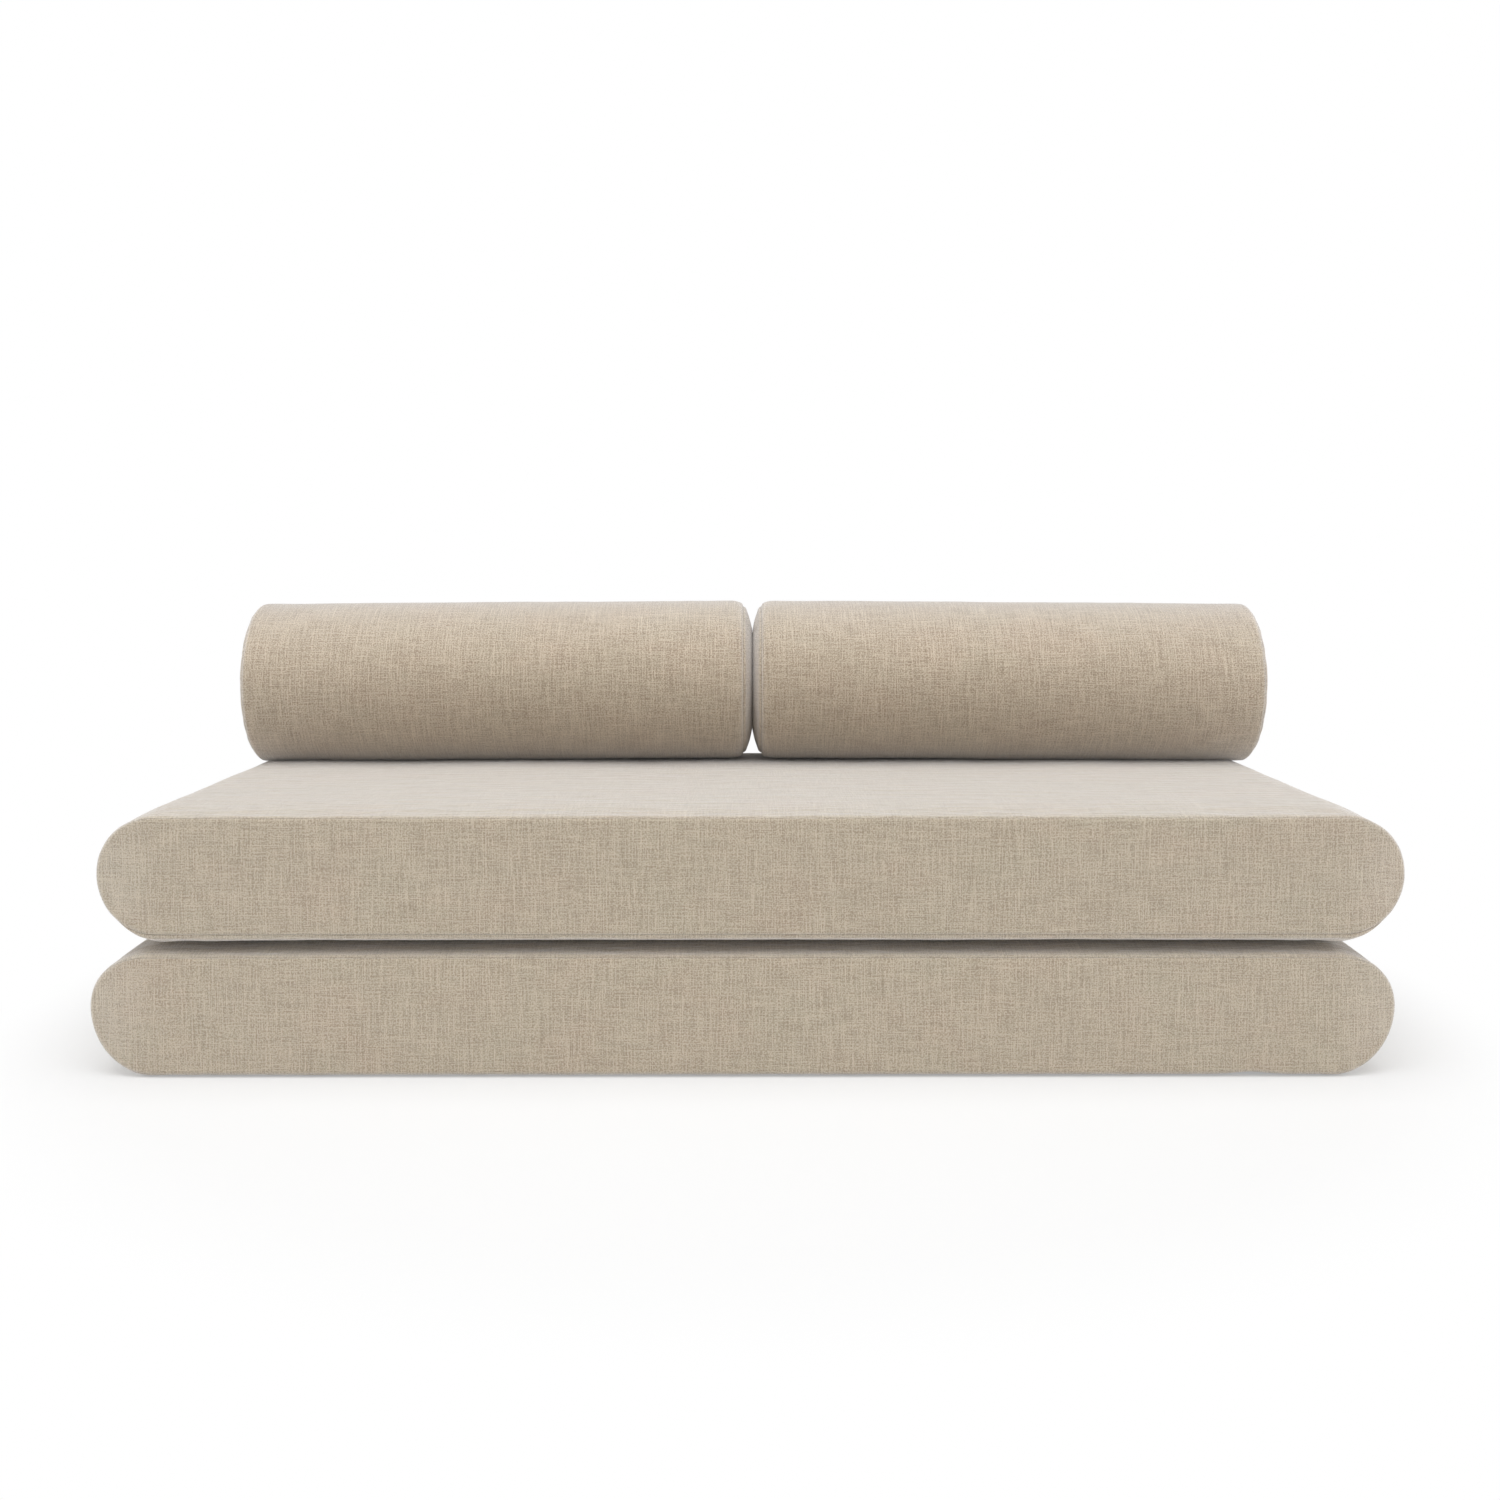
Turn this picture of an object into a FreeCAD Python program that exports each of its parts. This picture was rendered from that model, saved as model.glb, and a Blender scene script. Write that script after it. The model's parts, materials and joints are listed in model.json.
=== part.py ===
"""Sofa bed: two stacked foam mattresses joined by a cloth hinge along the rear, with two bolsters.

Frame: +X along the sofa, +Y to the rear, +Z up, millimetres. The origin is on the floor under the
middle of the whole part. A mattress is drawn with x from its middle, y from its front face and z
from its underside. A bolster and a zip are drawn along X, with the zip facing +Z.
"""
import FreeCAD, Part
import math
import os
import re

import Sketcher

SIZES = (
    ("slab_width", 2000, "mattress, end to end"),
    ("slab_depth", 800, "mattress, front to rear"),
    ("slab_thickness", 203, "mattress, underside to top"),
    ("stack_shift", 6, "each mattress off the middle, lower to -X and upper to +X"),
    ("stack_gap", 0.3, "between the two mattresses"),
    ("crown_drop", 12, "how far the wrap curves in towards the front and rear seams"),
    ("crown_reach", 110, "how far from the seams that curve begins"),
    ("cover_wall", 2, "cover fabric with its lining"),
    ("panel_wall", 2, "front and rear cover panels"),
    ("soft_clear", 0.3, "between a foam and its cover"),
    ("layer_height", 45, "comfort foam layer at a sleeping or seat face"),
    ("base_wall", 1.2, "anti-slip panel under the lower mattress"),
    ("base_margin", 12, "flat underside left round that panel"),
    ("base_corner", 30, "corner radius of that panel"),
    ("hinge_length", 1640, "cloth hinge along X"),
    ("hinge_reach", 36, "cloth hinge up and down from the joint line"),
    ("hinge_wall", 1.2, "cloth hinge thickness"),
    ("hinge_clear", 0.2, "cloth hinge off the rear panels"),
    ("bolster_radius", 148, "bolster"),
    ("bolster_length", 932, "bolster over its domed ends"),
    ("bolster_gap", 6, "between the two bolsters"),
    ("bolster_shift", 10, "the pair of bolsters off the middle, to +X"),
    ("bolster_corner", 16, "rounding from the tube to the end disc"),
    ("bolster_dome", 8, "how far an end disc swells"),
    ("mattress_zip_length", 1500, "zip chain in a rear panel"),
    ("mattress_zip_height", 66, "zip above the underside"),
    ("mattress_zip_turn", 90, "zip facing the rear, turned from +Z about -X"),
    ("bolster_zip_length", 780, "zip chain along a bolster"),
    ("bolster_zip_turn", 90, "zip facing the rear, turned from +Z about -X"),
    ("tape_width", 12, "zip tape beside the chain"),
    ("tape_wall", 1, "zip tape thickness"),
    ("chain_width", 6, "closed zip chain"),
    ("chain_height", 2, "closed zip chain"),
    ("stop_length", 4, "zip end stop along the chain"),
    ("slider_length", 14, "zip slider along the chain"),
    ("slider_width", 10.6, "zip slider across the chain"),
    ("slider_wall", 1.4, "roof of the slider over the chain"),
    ("slider_clear", 0.3, "slider off the chain and tapes"),
    ("slider_park", 1, "closed slider off its end stop"),
    ("ear_height", 2.5, "ears on the slider that hold the pin"),
    ("ear_wall", 1, "ears across the chain"),
    ("ear_length", 3, "ears along the chain"),
    ("pin_radius", 0.6, "pin of the pull"),
    ("pin_height", 1.4, "pin above the slider's roof"),
    ("pin_clear", 0.15, "pull round the pin, and between the ears"),
    ("pull_length", 24, "pull from the pin to its tip"),
    ("pull_width", 5, "pull at its tip"),
    ("pull_wall", 1.2, "pull thickness"),
    ("pull_eye_wall", 0.5, "pull round the pin's hole"),
    ("pull_neck", 6, "narrow part of the pull, from the pin"),
    ("pull_hole_radius", 1.2, "hole near the pull's tip"),
    ("pull_hole_inset", 3.5, "that hole in from the tip"),
)

# Places worked out from the sizes above.
END_CENTRE_X = "(slab_width - slab_thickness) / 2"
MID_Z = "slab_thickness / 2"
SEAM_RADIUS = "(slab_thickness / 2 - crown_drop)"
ZIP_HALF = "(tape_width + chain_width / 2)"
SLIDER_FOOT = "(tape_wall / 2 + slider_clear)"
SLIDER_ROOF = "(chain_height / 2 + slider_clear + slider_wall)"
PIN_Z = f"({SLIDER_ROOF} + pin_height)"
EAR_GAP = "(chain_width / 2 + pin_clear)"
ZIP_PROUD = f"({SLIDER_ROOF} + ear_height)"
REAR_PROUD = f"({ZIP_PROUD} - panel_wall / 2)"
FRONT_Y = f"(0 - (slab_depth + {REAR_PROUD}) / 2)"
REAR_Y = f"({FRONT_Y} + slab_depth)"
LOWER_Z = "(base_wall + soft_clear)"
JOINT_Z = f"({LOWER_Z} + slab_thickness + stack_gap / 2)"
UPPER_Z = f"({LOWER_Z} + slab_thickness + stack_gap)"
SEAT_Z = f"({UPPER_Z} + slab_thickness)"
BOLSTER_Y = f"({REAR_Y} - bolster_radius)"
BOLSTER_Z = f"({SEAT_Z} + soft_clear + bolster_radius)"
BOLSTER_SEAM_X = "(bolster_length / 2 - bolster_dome - bolster_corner)"
DISC_RADIUS = "(bolster_radius - bolster_corner)"
DOME_RADIUS = f"(({DISC_RADIUS}^2 + bolster_dome^2) / (2 * bolster_dome))"
BOLSTER_ZIP_SEAT = f"(((bolster_radius - cover_wall / 2)^2 - {ZIP_HALF}^2)^0.5)"

# The wrap's curve towards a seam is a quarter ellipse, drawn at these angles round it.
CROWN_ANGLES = (0, 30, 60, 90)

doc = FreeCAD.newDocument("sofa_bed")
sheet = doc.addObject("Spreadsheet::Sheet", "Sizes")
for row, (alias, size, meaning) in enumerate(SIZES, start=1):
    sheet.set(f"A{row}", meaning)
    sheet.set(f"B{row}", str(size))
    sheet.setAlias(f"B{row}", alias)
doc.recompute()

ALIAS = re.compile(r"\b(" + "|".join(alias for alias, size, meaning in SIZES) + r")\b")
finished = []


def formula(text):
    """The text with each size's name pointing at its cell."""
    return ALIAS.sub(r"Sizes.\1", text)


def value(text):
    """What a formula comes to now."""
    return float(sheet.evalExpression(formula(text)))


def bind(item, prop, text):
    """Tie a property to a formula of sizes."""
    item.setExpression(prop, formula(text))


def keep(item, label):
    """Name a finished sub-part and list it for writing."""
    item.Label = label
    finished.append(item)


def place(item, x, y, z, turn="0"):
    """Set a finished sub-part in the sofa, turned about -X."""
    spot = FreeCAD.Vector(value(x), value(y), value(z))
    item.Placement = FreeCAD.Placement(spot, FreeCAD.Rotation(FreeCAD.Vector(-1, 0, 0), value(turn)))
    bind(item, "Placement.Base.x", x)
    bind(item, "Placement.Base.y", y)
    bind(item, "Placement.Base.z", z)
    if turn != "0":
        bind(item, "Placement.Rotation.Angle", turn)


def new_body(name):
    return doc.addObject("PartDesign::Body", name)


def origin_plane(body, role):
    return next(feature for feature in body.Origin.OriginFeatures if feature.Role == role)


def outline(body, name, role, corners, height="0"):
    """A closed sketch on one of the body's origin planes, at a height along that plane's normal.

    Each corner is (x, y) for a straight edge to the next corner, or (x, y, centre x, centre y,
    radius) for an arc to the next corner.
    """
    sketch = body.newObject("Sketcher::SketchObject", name)
    sketch.AttachmentSupport = (origin_plane(body, role), [""])
    sketch.MapMode = "FlatFace"
    sketch.AttachmentOffset = FreeCAD.Placement(FreeCAD.Vector(0, 0, value(height)), FreeCAD.Rotation())
    if height != "0":
        bind(sketch, "AttachmentOffset.Base.z", height)
    spots = [FreeCAD.Vector(value(corner[0]), value(corner[1]), 0) for corner in corners]
    first_ends = []
    last_ends = []
    for index, corner in enumerate(corners):
        start = spots[index]
        stop = spots[(index + 1) % len(spots)]
        if len(corner) == 2:
            sketch.addGeometry(Part.LineSegment(start, stop), False)
            first_ends.append((index, 1))
            last_ends.append((index, 2))
            continue
        centre = FreeCAD.Vector(value(corner[2]), value(corner[3]), 0)
        circle = Part.Circle(centre, FreeCAD.Vector(0, 0, 1), value(corner[4]))
        angles = [math.atan2(spot.y - centre.y, spot.x - centre.x) for spot in (start, stop)]
        forward = (angles[1] - angles[0]) % (2 * math.pi) < math.pi
        sweep = angles if forward else angles[::-1]
        sketch.addGeometry(Part.ArcOfCircle(circle, *sweep), False)
        first_ends.append((index, 1 if forward else 2))
        last_ends.append((index, 2 if forward else 1))
    for index, corner in enumerate(corners):
        sketch.addConstraint(Sketcher.Constraint("Coincident", *last_ends[index - 1], *first_ends[index]))
        places = (("DistanceX", corner[0], spots[index].x), ("DistanceY", corner[1], spots[index].y))
        for kind, text, size in places:
            number = sketch.addConstraint(Sketcher.Constraint(kind, -1, 1, *first_ends[index], size))
            bind(sketch, f"Constraints[{number}]", text)
        if len(corner) > 2:
            number = sketch.addConstraint(Sketcher.Constraint("Radius", index, value(corner[4])))
            bind(sketch, f"Constraints[{number}]", corner[4])
    return sketch


def rectangle(x0, x1, y0, y1):
    return [(x0, y0), (x1, y0), (x1, y1), (x0, y1)]


def stadium(radius):
    """Corners of a mattress section: flat above and below, with a full-round end each side."""
    right = END_CENTRE_X
    left = f"0 - {END_CENTRE_X}"
    below = f"{MID_Z} - ({radius})"
    above = f"{MID_Z} + ({radius})"
    return [
        (left, below),
        (right, below, right, MID_Z, radius),
        (f"{right} + ({radius})", MID_Z, right, MID_Z, radius),
        (right, above),
        (left, above, left, MID_Z, radius),
        (f"{left} - ({radius})", MID_Z, left, MID_Z, radius),
    ]


def crown_sections(body, name, inset, end_inset):
    """Sections from the front seam to the rear one, inset from the wrap's outer face."""
    stations = []
    for angle in CROWN_ANGLES:
        run = f"({end_inset} + crown_reach * (1 - cos({angle} deg)))"
        radius = f"(slab_thickness / 2 - crown_drop * (1 - sin({angle} deg)) - ({inset}))"
        stations.append((run, radius))
    towards_rear = [(f"slab_depth - {run}", radius) for run, radius in reversed(stations)]
    sketches = []
    for index, (y, radius) in enumerate(stations + towards_rear):
        sketches.append(outline(body, f"{name}_{index}", "XZ_Plane", stadium(radius), f"0 - ({y})"))
    return sketches


def loft(body, kind, name, sections):
    feature = body.newObject(f"PartDesign::{kind}", name)
    feature.Profile = sections[0]
    feature.Sections = sections[1:]
    feature.Ruled = True
    return feature


def pad(body, name, sketch, length):
    feature = body.newObject("PartDesign::Pad", name)
    feature.Profile = sketch
    bind(feature, "Length", length)
    return feature


def pocket(body, name, sketch, length):
    """Cut to both sides of the sketch, half the length each way."""
    feature = body.newObject("PartDesign::Pocket", name)
    feature.Profile = sketch
    feature.SideType = "Symmetric"
    bind(feature, "Length", length)
    return feature


def revolution(body, name, sketch):
    feature = body.newObject("PartDesign::Revolution", name)
    feature.Profile = sketch
    feature.ReferenceAxis = (sketch, ["H_Axis"])
    feature.Angle = 360
    return feature


def block(name, low, high):
    """A box between two corners, each given as three formulas."""
    item = doc.addObject("Part::Box", name)
    for prop, start, stop in zip(("Length", "Width", "Height"), low, high):
        bind(item, prop, f"({stop}) - ({start})")
    for axis, start in zip("xyz", low):
        bind(item, f"Placement.Base.{axis}", start)
    return item


def cross_pin(name, radius, x, z, half_length):
    """A cylinder across the zip, along Y."""
    item = doc.addObject("Part::Cylinder", name)
    item.Placement = FreeCAD.Placement(FreeCAD.Vector(), FreeCAD.Rotation(FreeCAD.Vector(-1, 0, 0), 90))
    bind(item, "Radius", radius)
    bind(item, "Height", f"2 * ({half_length})")
    bind(item, "Placement.Base.x", x)
    bind(item, "Placement.Base.y", f"0 - ({half_length})")
    bind(item, "Placement.Base.z", z)
    return item


def fuse(name, pieces):
    item = doc.addObject("Part::MultiFuse", name)
    item.Shapes = pieces
    return item


def cut(name, base, tool):
    item = doc.addObject("Part::Cut", name)
    item.Base = base
    item.Tool = tool
    return item


def group(name, pieces):
    item = doc.addObject("Part::Compound", name)
    item.Links = pieces
    return item


def foam_layers(side, x, z, layers):
    """One crowned foam block, sliced at level planes into glued layers."""
    block_body = new_body(f"{side}_foam_block")
    inset = "cover_wall + soft_clear"
    sections = crown_sections(block_body, f"{side}_foam_section", inset, "(panel_wall + soft_clear)")
    loft(block_body, "AdditiveLoft", f"{side}_foam_loft", sections)
    half = "(slab_width / 2)"
    for name, low, high in layers:
        slice_box = block(f"{name}_slice", (f"0 - {half}", "0", low), (half, "slab_depth", high))
        layer = doc.addObject("Part::Common", name)
        layer.Base = block_body
        layer.Tool = slice_box
        place(layer, x, FRONT_Y, z)
        keep(layer, name)


def cover_wrap(side, x, z):
    """The band of fabric over the top, round both ends and underneath."""
    body = new_body(f"{side}_cover_wrap")
    outer = crown_sections(body, f"{side}_wrap_outer", "0", "panel_wall")
    loft(body, "AdditiveLoft", f"{side}_wrap_form", outer)
    inner = crown_sections(body, f"{side}_wrap_inner", "cover_wall", "panel_wall")
    loft(body, "SubtractiveLoft", f"{side}_wrap_hollow", inner)
    place(body, x, FRONT_Y, z)
    keep(body, f"{side}_cover_wrap")


def front_panel(side, x, z):
    body = new_body(f"{side}_cover_front")
    sketch = outline(body, f"{side}_front_outline", "XZ_Plane", stadium(SEAM_RADIUS), "0 - panel_wall")
    pad(body, f"{side}_front_sheet", sketch, "panel_wall")
    place(body, x, FRONT_Y, z)
    keep(body, f"{side}_cover_front")


def rear_panel(side, x, z):
    """The panel that holds the zip, with the zip's opening cut through it."""
    body = new_body(f"{side}_cover_rear")
    sketch = outline(body, f"{side}_rear_outline", "XZ_Plane", stadium(SEAM_RADIUS), "0 - slab_depth")
    pad(body, f"{side}_rear_sheet", sketch, "panel_wall")
    half = "(mattress_zip_length / 2 + stop_length)"
    low = f"mattress_zip_height - {ZIP_HALF}"
    high = f"mattress_zip_height + {ZIP_HALF}"
    opening = rectangle(f"0 - {half}", half, low, high)
    slot = outline(body, f"{side}_rear_slot", "XZ_Plane", opening, "0 - slab_depth")
    pocket(body, f"{side}_rear_opening", slot, "4 * panel_wall")
    place(body, x, FRONT_Y, z)
    keep(body, f"{side}_cover_rear")


def base_panel(x):
    """The dark anti-slip panel under the flat of the lower mattress."""
    body = new_body("lower_base_panel")
    half = f"({END_CENTRE_X} - base_margin)"
    front = "(panel_wall + crown_reach + base_margin)"
    corners = rectangle(f"0 - {half}", half, front, f"slab_depth - {front}")
    base = pad(body, "base_sheet", outline(body, "base_outline", "XY_Plane", corners), "base_wall")
    doc.recompute()
    upright = []
    for index, edge in enumerate(base.Shape.Edges, start=1):
        if abs(edge.tangentAt(edge.FirstParameter).z) > 0.99:
            upright.append(f"Edge{index}")
    corner = body.newObject("PartDesign::Fillet", "base_corners")
    corner.Base = (base, upright)
    bind(corner, "Radius", "base_corner")
    place(body, x, FRONT_Y, "0")
    keep(body, "lower_base_panel")


def hinge_strip():
    """The cloth hinge, sewn to both rear panels across the joint between the mattresses."""
    body = new_body("hinge_strip")
    half = "(hinge_length / 2)"
    corners = rectangle(f"0 - {half}", half, "0 - hinge_reach", "hinge_reach")
    pad(body, "hinge_sheet", outline(body, "hinge_outline", "XZ_Plane", corners, "0 - hinge_wall"), "hinge_wall")
    place(body, "0", f"{REAR_Y} + hinge_clear", JOINT_Z)
    keep(body, "hinge_strip")


def zip_fastener(name, length, spot):
    """Tapes, chain, end stops, slider and pull of one zip, closed with its slider at the +X end."""
    half = f"({length} / 2)"
    reach = f"({length} / 2 + stop_length)"
    edge = "(chain_width / 2)"

    tapes = []
    for hand, inner, outer in (("upper", edge, ZIP_HALF), ("lower", f"0 - {ZIP_HALF}", f"0 - {edge}")):
        low = (f"0 - {reach}", inner, "0 - tape_wall / 2")
        tapes.append(block(f"{name}_{hand}_tape", low, (reach, outer, "tape_wall / 2")))
    tape_pair = group(f"{name}_zip_tapes", tapes)

    chain_low = (f"0 - {half}", f"0 - {edge}", "0 - chain_height / 2")
    chain = group(f"{name}_zip_chain", [block(f"{name}_chain_bar", chain_low, (half, edge, "chain_height / 2"))])

    stops = []
    for hand, start, stop in (("right", half, reach), ("left", f"0 - {reach}", f"0 - {half}")):
        low = (start, f"0 - {edge}", "0 - chain_height / 2")
        stops.append(block(f"{name}_{hand}_stop", low, (stop, edge, "chain_height / 2")))
    stop_pair = group(f"{name}_zip_stops", stops)

    slider, pull = slider_and_pull(name, f"({half} - slider_park - slider_length / 2)")
    for item in (tape_pair, chain, stop_pair, slider, pull):
        place(item, *spot)
        keep(item, item.Name)


def slider_and_pull(name, middle):
    """The slider over the chain with its ears and pin, and the pull lying back along the zip."""
    side = "(slider_width / 2)"
    start = f"({middle} - slider_length / 2)"
    stop = f"({middle} + slider_length / 2)"
    saddle = block(f"{name}_saddle", (start, f"0 - {side}", SLIDER_FOOT), (stop, side, SLIDER_ROOF))
    groove_half = "(chain_width / 2 + slider_clear)"
    groove_top = "(chain_height / 2 + slider_clear)"
    groove_low = (f"{start} - slider_wall", f"0 - {groove_half}", "0")
    groove = block(f"{name}_groove", groove_low, (f"{stop} + slider_wall", groove_half, groove_top))
    ear_start = f"({middle} - ear_length / 2)"
    ear_stop = f"({middle} + ear_length / 2)"
    ear_outer = f"({EAR_GAP} + ear_wall)"
    ears = []
    for hand, inner, outer in (("upper", EAR_GAP, ear_outer), ("lower", f"0 - {ear_outer}", f"0 - {EAR_GAP}")):
        low = (ear_start, inner, f"{SLIDER_ROOF} - slider_wall / 2")
        ears.append(block(f"{name}_{hand}_ear", low, (ear_stop, outer, ZIP_PROUD)))
    pin = cross_pin(f"{name}_pin", "pin_radius", middle, PIN_Z, f"{EAR_GAP} + ear_wall / 2")
    slider = fuse(f"{name}_zip_slider", [cut(f"{name}_channel", saddle, groove), *ears, pin])

    eye_half = f"({EAR_GAP} - pin_clear)"
    eye_radius = "(pin_radius + pin_clear + pull_eye_wall)"
    eye = cross_pin(f"{name}_eye", eye_radius, middle, PIN_Z, eye_half)
    bottom = f"({PIN_Z} - pull_wall / 2)"
    top = f"({PIN_Z} + pull_wall / 2)"
    neck_low = (f"{middle} - pull_neck", f"0 - {eye_half} / 2", bottom)
    neck = block(f"{name}_neck", neck_low, (middle, f"{eye_half} / 2", top))
    tab_low = (f"{middle} - pull_length", "0 - pull_width / 2", bottom)
    tab = block(f"{name}_tab", tab_low, (f"{middle} - pull_neck", "pull_width / 2", top))
    pin_hole = cross_pin(f"{name}_pin_hole", "pin_radius + pin_clear", middle, PIN_Z, f"2 * {eye_half}")
    tip_hole = doc.addObject("Part::Cylinder", f"{name}_tip_hole")
    bind(tip_hole, "Radius", "pull_hole_radius")
    bind(tip_hole, "Height", "3 * pull_wall")
    bind(tip_hole, "Placement.Base.x", f"{middle} - pull_length + pull_hole_inset")
    bind(tip_hole, "Placement.Base.z", f"{PIN_Z} - 1.5 * pull_wall")
    plate = fuse(f"{name}_plate", [eye, neck, tab])
    pull = cut(f"{name}_zip_pull", cut(f"{name}_eyed_plate", plate, pin_hole), tip_hole)
    return slider, pull


def bolster_end(sign, inset):
    """Corners from the tube's rim to the axis, over the rounding and the dome, at one end."""
    def along(x):
        return f"{sign} * ({x})"

    shoulder = (along(BOLSTER_SEAM_X), DISC_RADIUS, f"bolster_corner - ({inset})")
    crown = (along(f"bolster_length / 2 - ({inset}) - {DOME_RADIUS}"), "0", DOME_RADIUS)
    return [
        (along(BOLSTER_SEAM_X), f"bolster_radius - ({inset})", *shoulder),
        (along(f"bolster_length / 2 - bolster_dome - ({inset})"), DISC_RADIUS, *crown),
        (along(f"bolster_length / 2 - ({inset})"), "0"),
    ]


def reversed_end(sign, inset):
    """The same corners from the axis back to the rim."""
    rim, edge, tip = bolster_end(sign, inset)
    return [(*tip[:2], *edge[2:]), (*edge[:2], *rim[2:]), rim[:2]]


def bolster_core(name, spot):
    """The foam roll, with a flat along it that the zip lies on."""
    body = new_body(f"{name}_foam_core")
    inset = "cover_wall + soft_clear"
    corners = reversed_end(-1, inset) + bolster_end(1, inset)
    revolution(body, f"{name}_roll", outline(body, f"{name}_roll_outline", "XY_Plane", corners))
    half = "(bolster_zip_length / 2 + stop_length + soft_clear)"
    depth = f"(bolster_radius - {BOLSTER_ZIP_SEAT} + chain_height / 2 + soft_clear)"
    flat = rectangle(f"0 - {half}", half, f"0 - 2 * {ZIP_HALF}", f"2 * {ZIP_HALF}")
    sketch = outline(body, f"{name}_flat_outline", "XY_Plane", flat, "bolster_radius")
    pocket(body, f"{name}_zip_flat", sketch, f"2 * {depth}")
    place(body, *spot)
    keep(body, f"{name}_foam_core")


def bolster_tube(name, spot):
    body = new_body(f"{name}_cover_tube")
    seam = BOLSTER_SEAM_X
    wall = rectangle(f"0 - {seam}", seam, "bolster_radius - cover_wall", "bolster_radius")
    revolution(body, f"{name}_tube", outline(body, f"{name}_tube_outline", "XY_Plane", wall))
    half = "(bolster_zip_length / 2 + stop_length)"
    opening = rectangle(f"0 - {half}", half, f"0 - {ZIP_HALF}", ZIP_HALF)
    slot = outline(body, f"{name}_slot", "XY_Plane", opening, "bolster_radius")
    pocket(body, f"{name}_opening", slot, "8 * cover_wall")
    place(body, *spot)
    keep(body, f"{name}_cover_tube")


def bolster_disc(name, hand, sign, spot):
    body = new_body(f"{name}_cover_{hand}")
    corners = bolster_end(sign, "0") + reversed_end(sign, "cover_wall")
    revolution(body, f"{name}_{hand}_disc", outline(body, f"{name}_{hand}_outline", "XY_Plane", corners))
    place(body, *spot)
    keep(body, f"{name}_cover_{hand}")


def bolster(name, side):
    """A loose roll along the rear of the seat; side is -1 for the left one, 1 for the right one."""
    x = f"(bolster_shift + ({side}) * (bolster_length + bolster_gap) / 2)"
    spot = (x, BOLSTER_Y, BOLSTER_Z, "bolster_zip_turn")
    bolster_core(name, spot)
    bolster_tube(name, spot)
    bolster_disc(name, "outer_end", side, spot)
    bolster_disc(name, "inner_end", -side, spot)
    zip_y = f"{BOLSTER_Y} + {BOLSTER_ZIP_SEAT} * sin(bolster_zip_turn * 1 deg)"
    zip_z = f"{BOLSTER_Z} + {BOLSTER_ZIP_SEAT} * cos(bolster_zip_turn * 1 deg)"
    zip_fastener(name, "bolster_zip_length", (x, zip_y, zip_z, "bolster_zip_turn"))


def mattress(side, x, z, layers):
    foam_layers(side, x, z, layers)
    cover_wrap(side, x, z)
    front_panel(side, x, z)
    rear_panel(side, x, z)
    zip_spot = (x, f"{REAR_Y} - panel_wall / 2", f"{z} + mattress_zip_height", "mattress_zip_turn")
    zip_fastener(side, "mattress_zip_length", zip_spot)


def check_and_write():
    """Stop on any failed object, then write each sub-part to its own file."""
    doc.recompute()
    failed = [item.Name for item in doc.Objects if {"Invalid", "Error"} & set(item.State)]
    if failed:
        raise RuntimeError(f"failed objects: {failed}")
    for item in finished:
        if item.Shape.isNull() or not item.Shape.isValid() or not item.Shape.Solids:
            raise RuntimeError(f"bad shape: {item.Label}")
    os.makedirs("parts", exist_ok=True)
    for item in finished:
        item.Shape.exportStep(f"parts/{item.Label}.step")
        print(f"{item.Label}: {len(item.Shape.Solids)} solid(s), {item.Shape.Volume:.0f} mm3")


TOP_LAYER = "slab_thickness - layer_height"
mattress("lower", "0 - stack_shift", LOWER_Z, (
    ("lower_foam_core", "0", TOP_LAYER),
    ("lower_foam_sleep_layer", TOP_LAYER, "slab_thickness"),
))
base_panel("0 - stack_shift")
mattress("upper", "stack_shift", UPPER_Z, (
    ("upper_foam_sleep_layer", "0", "layer_height"),
    ("upper_foam_core", "layer_height", TOP_LAYER),
    ("upper_foam_seat_layer", TOP_LAYER, "slab_thickness"),
))
hinge_strip()
bolster("bolster_left", -1)
bolster("bolster_right", 1)
check_and_write()
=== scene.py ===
"""Upholsters a packed sofa bed: two mattresses on a cloth hinge, two bolsters, zips and a base cloth."""

import json
import math

import bmesh
import bpy
import numpy as np
from bpy.props import FloatProperty, FloatVectorProperty, IntProperty, PointerProperty
from mathutils import Matrix, Vector, noise


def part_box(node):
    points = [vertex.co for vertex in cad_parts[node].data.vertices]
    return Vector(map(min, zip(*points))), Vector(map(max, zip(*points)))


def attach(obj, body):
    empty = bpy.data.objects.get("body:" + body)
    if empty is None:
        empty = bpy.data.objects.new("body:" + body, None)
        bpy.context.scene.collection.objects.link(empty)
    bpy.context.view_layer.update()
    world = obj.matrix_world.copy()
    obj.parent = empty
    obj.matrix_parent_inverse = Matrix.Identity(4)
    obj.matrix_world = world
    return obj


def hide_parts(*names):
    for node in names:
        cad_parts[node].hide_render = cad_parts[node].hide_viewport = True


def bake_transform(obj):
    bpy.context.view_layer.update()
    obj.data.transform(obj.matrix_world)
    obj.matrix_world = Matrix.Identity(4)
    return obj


bl_info = {
    "name": "Sofa Bed Upholstery",
    "version": (1, 0, 0),
    "blender": (4, 5, 0),
    "location": "View3D > Sidebar > Sofa Bed",
    "description": "Makes the cushions, zips, hinge cloth and base cloth of a folding sofa bed",
    "category": "Object",
}

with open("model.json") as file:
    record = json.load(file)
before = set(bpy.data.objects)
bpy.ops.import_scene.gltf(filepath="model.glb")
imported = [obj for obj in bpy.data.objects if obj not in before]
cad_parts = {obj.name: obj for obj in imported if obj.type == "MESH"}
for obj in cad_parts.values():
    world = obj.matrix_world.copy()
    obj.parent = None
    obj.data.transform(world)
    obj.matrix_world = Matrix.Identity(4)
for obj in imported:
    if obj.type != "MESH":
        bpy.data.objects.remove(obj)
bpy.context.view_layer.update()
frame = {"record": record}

MM = 0.001
MATTRESSES = ("lower", "upper")
BOLSTERS = ("bolster_left", "bolster_right")
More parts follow.
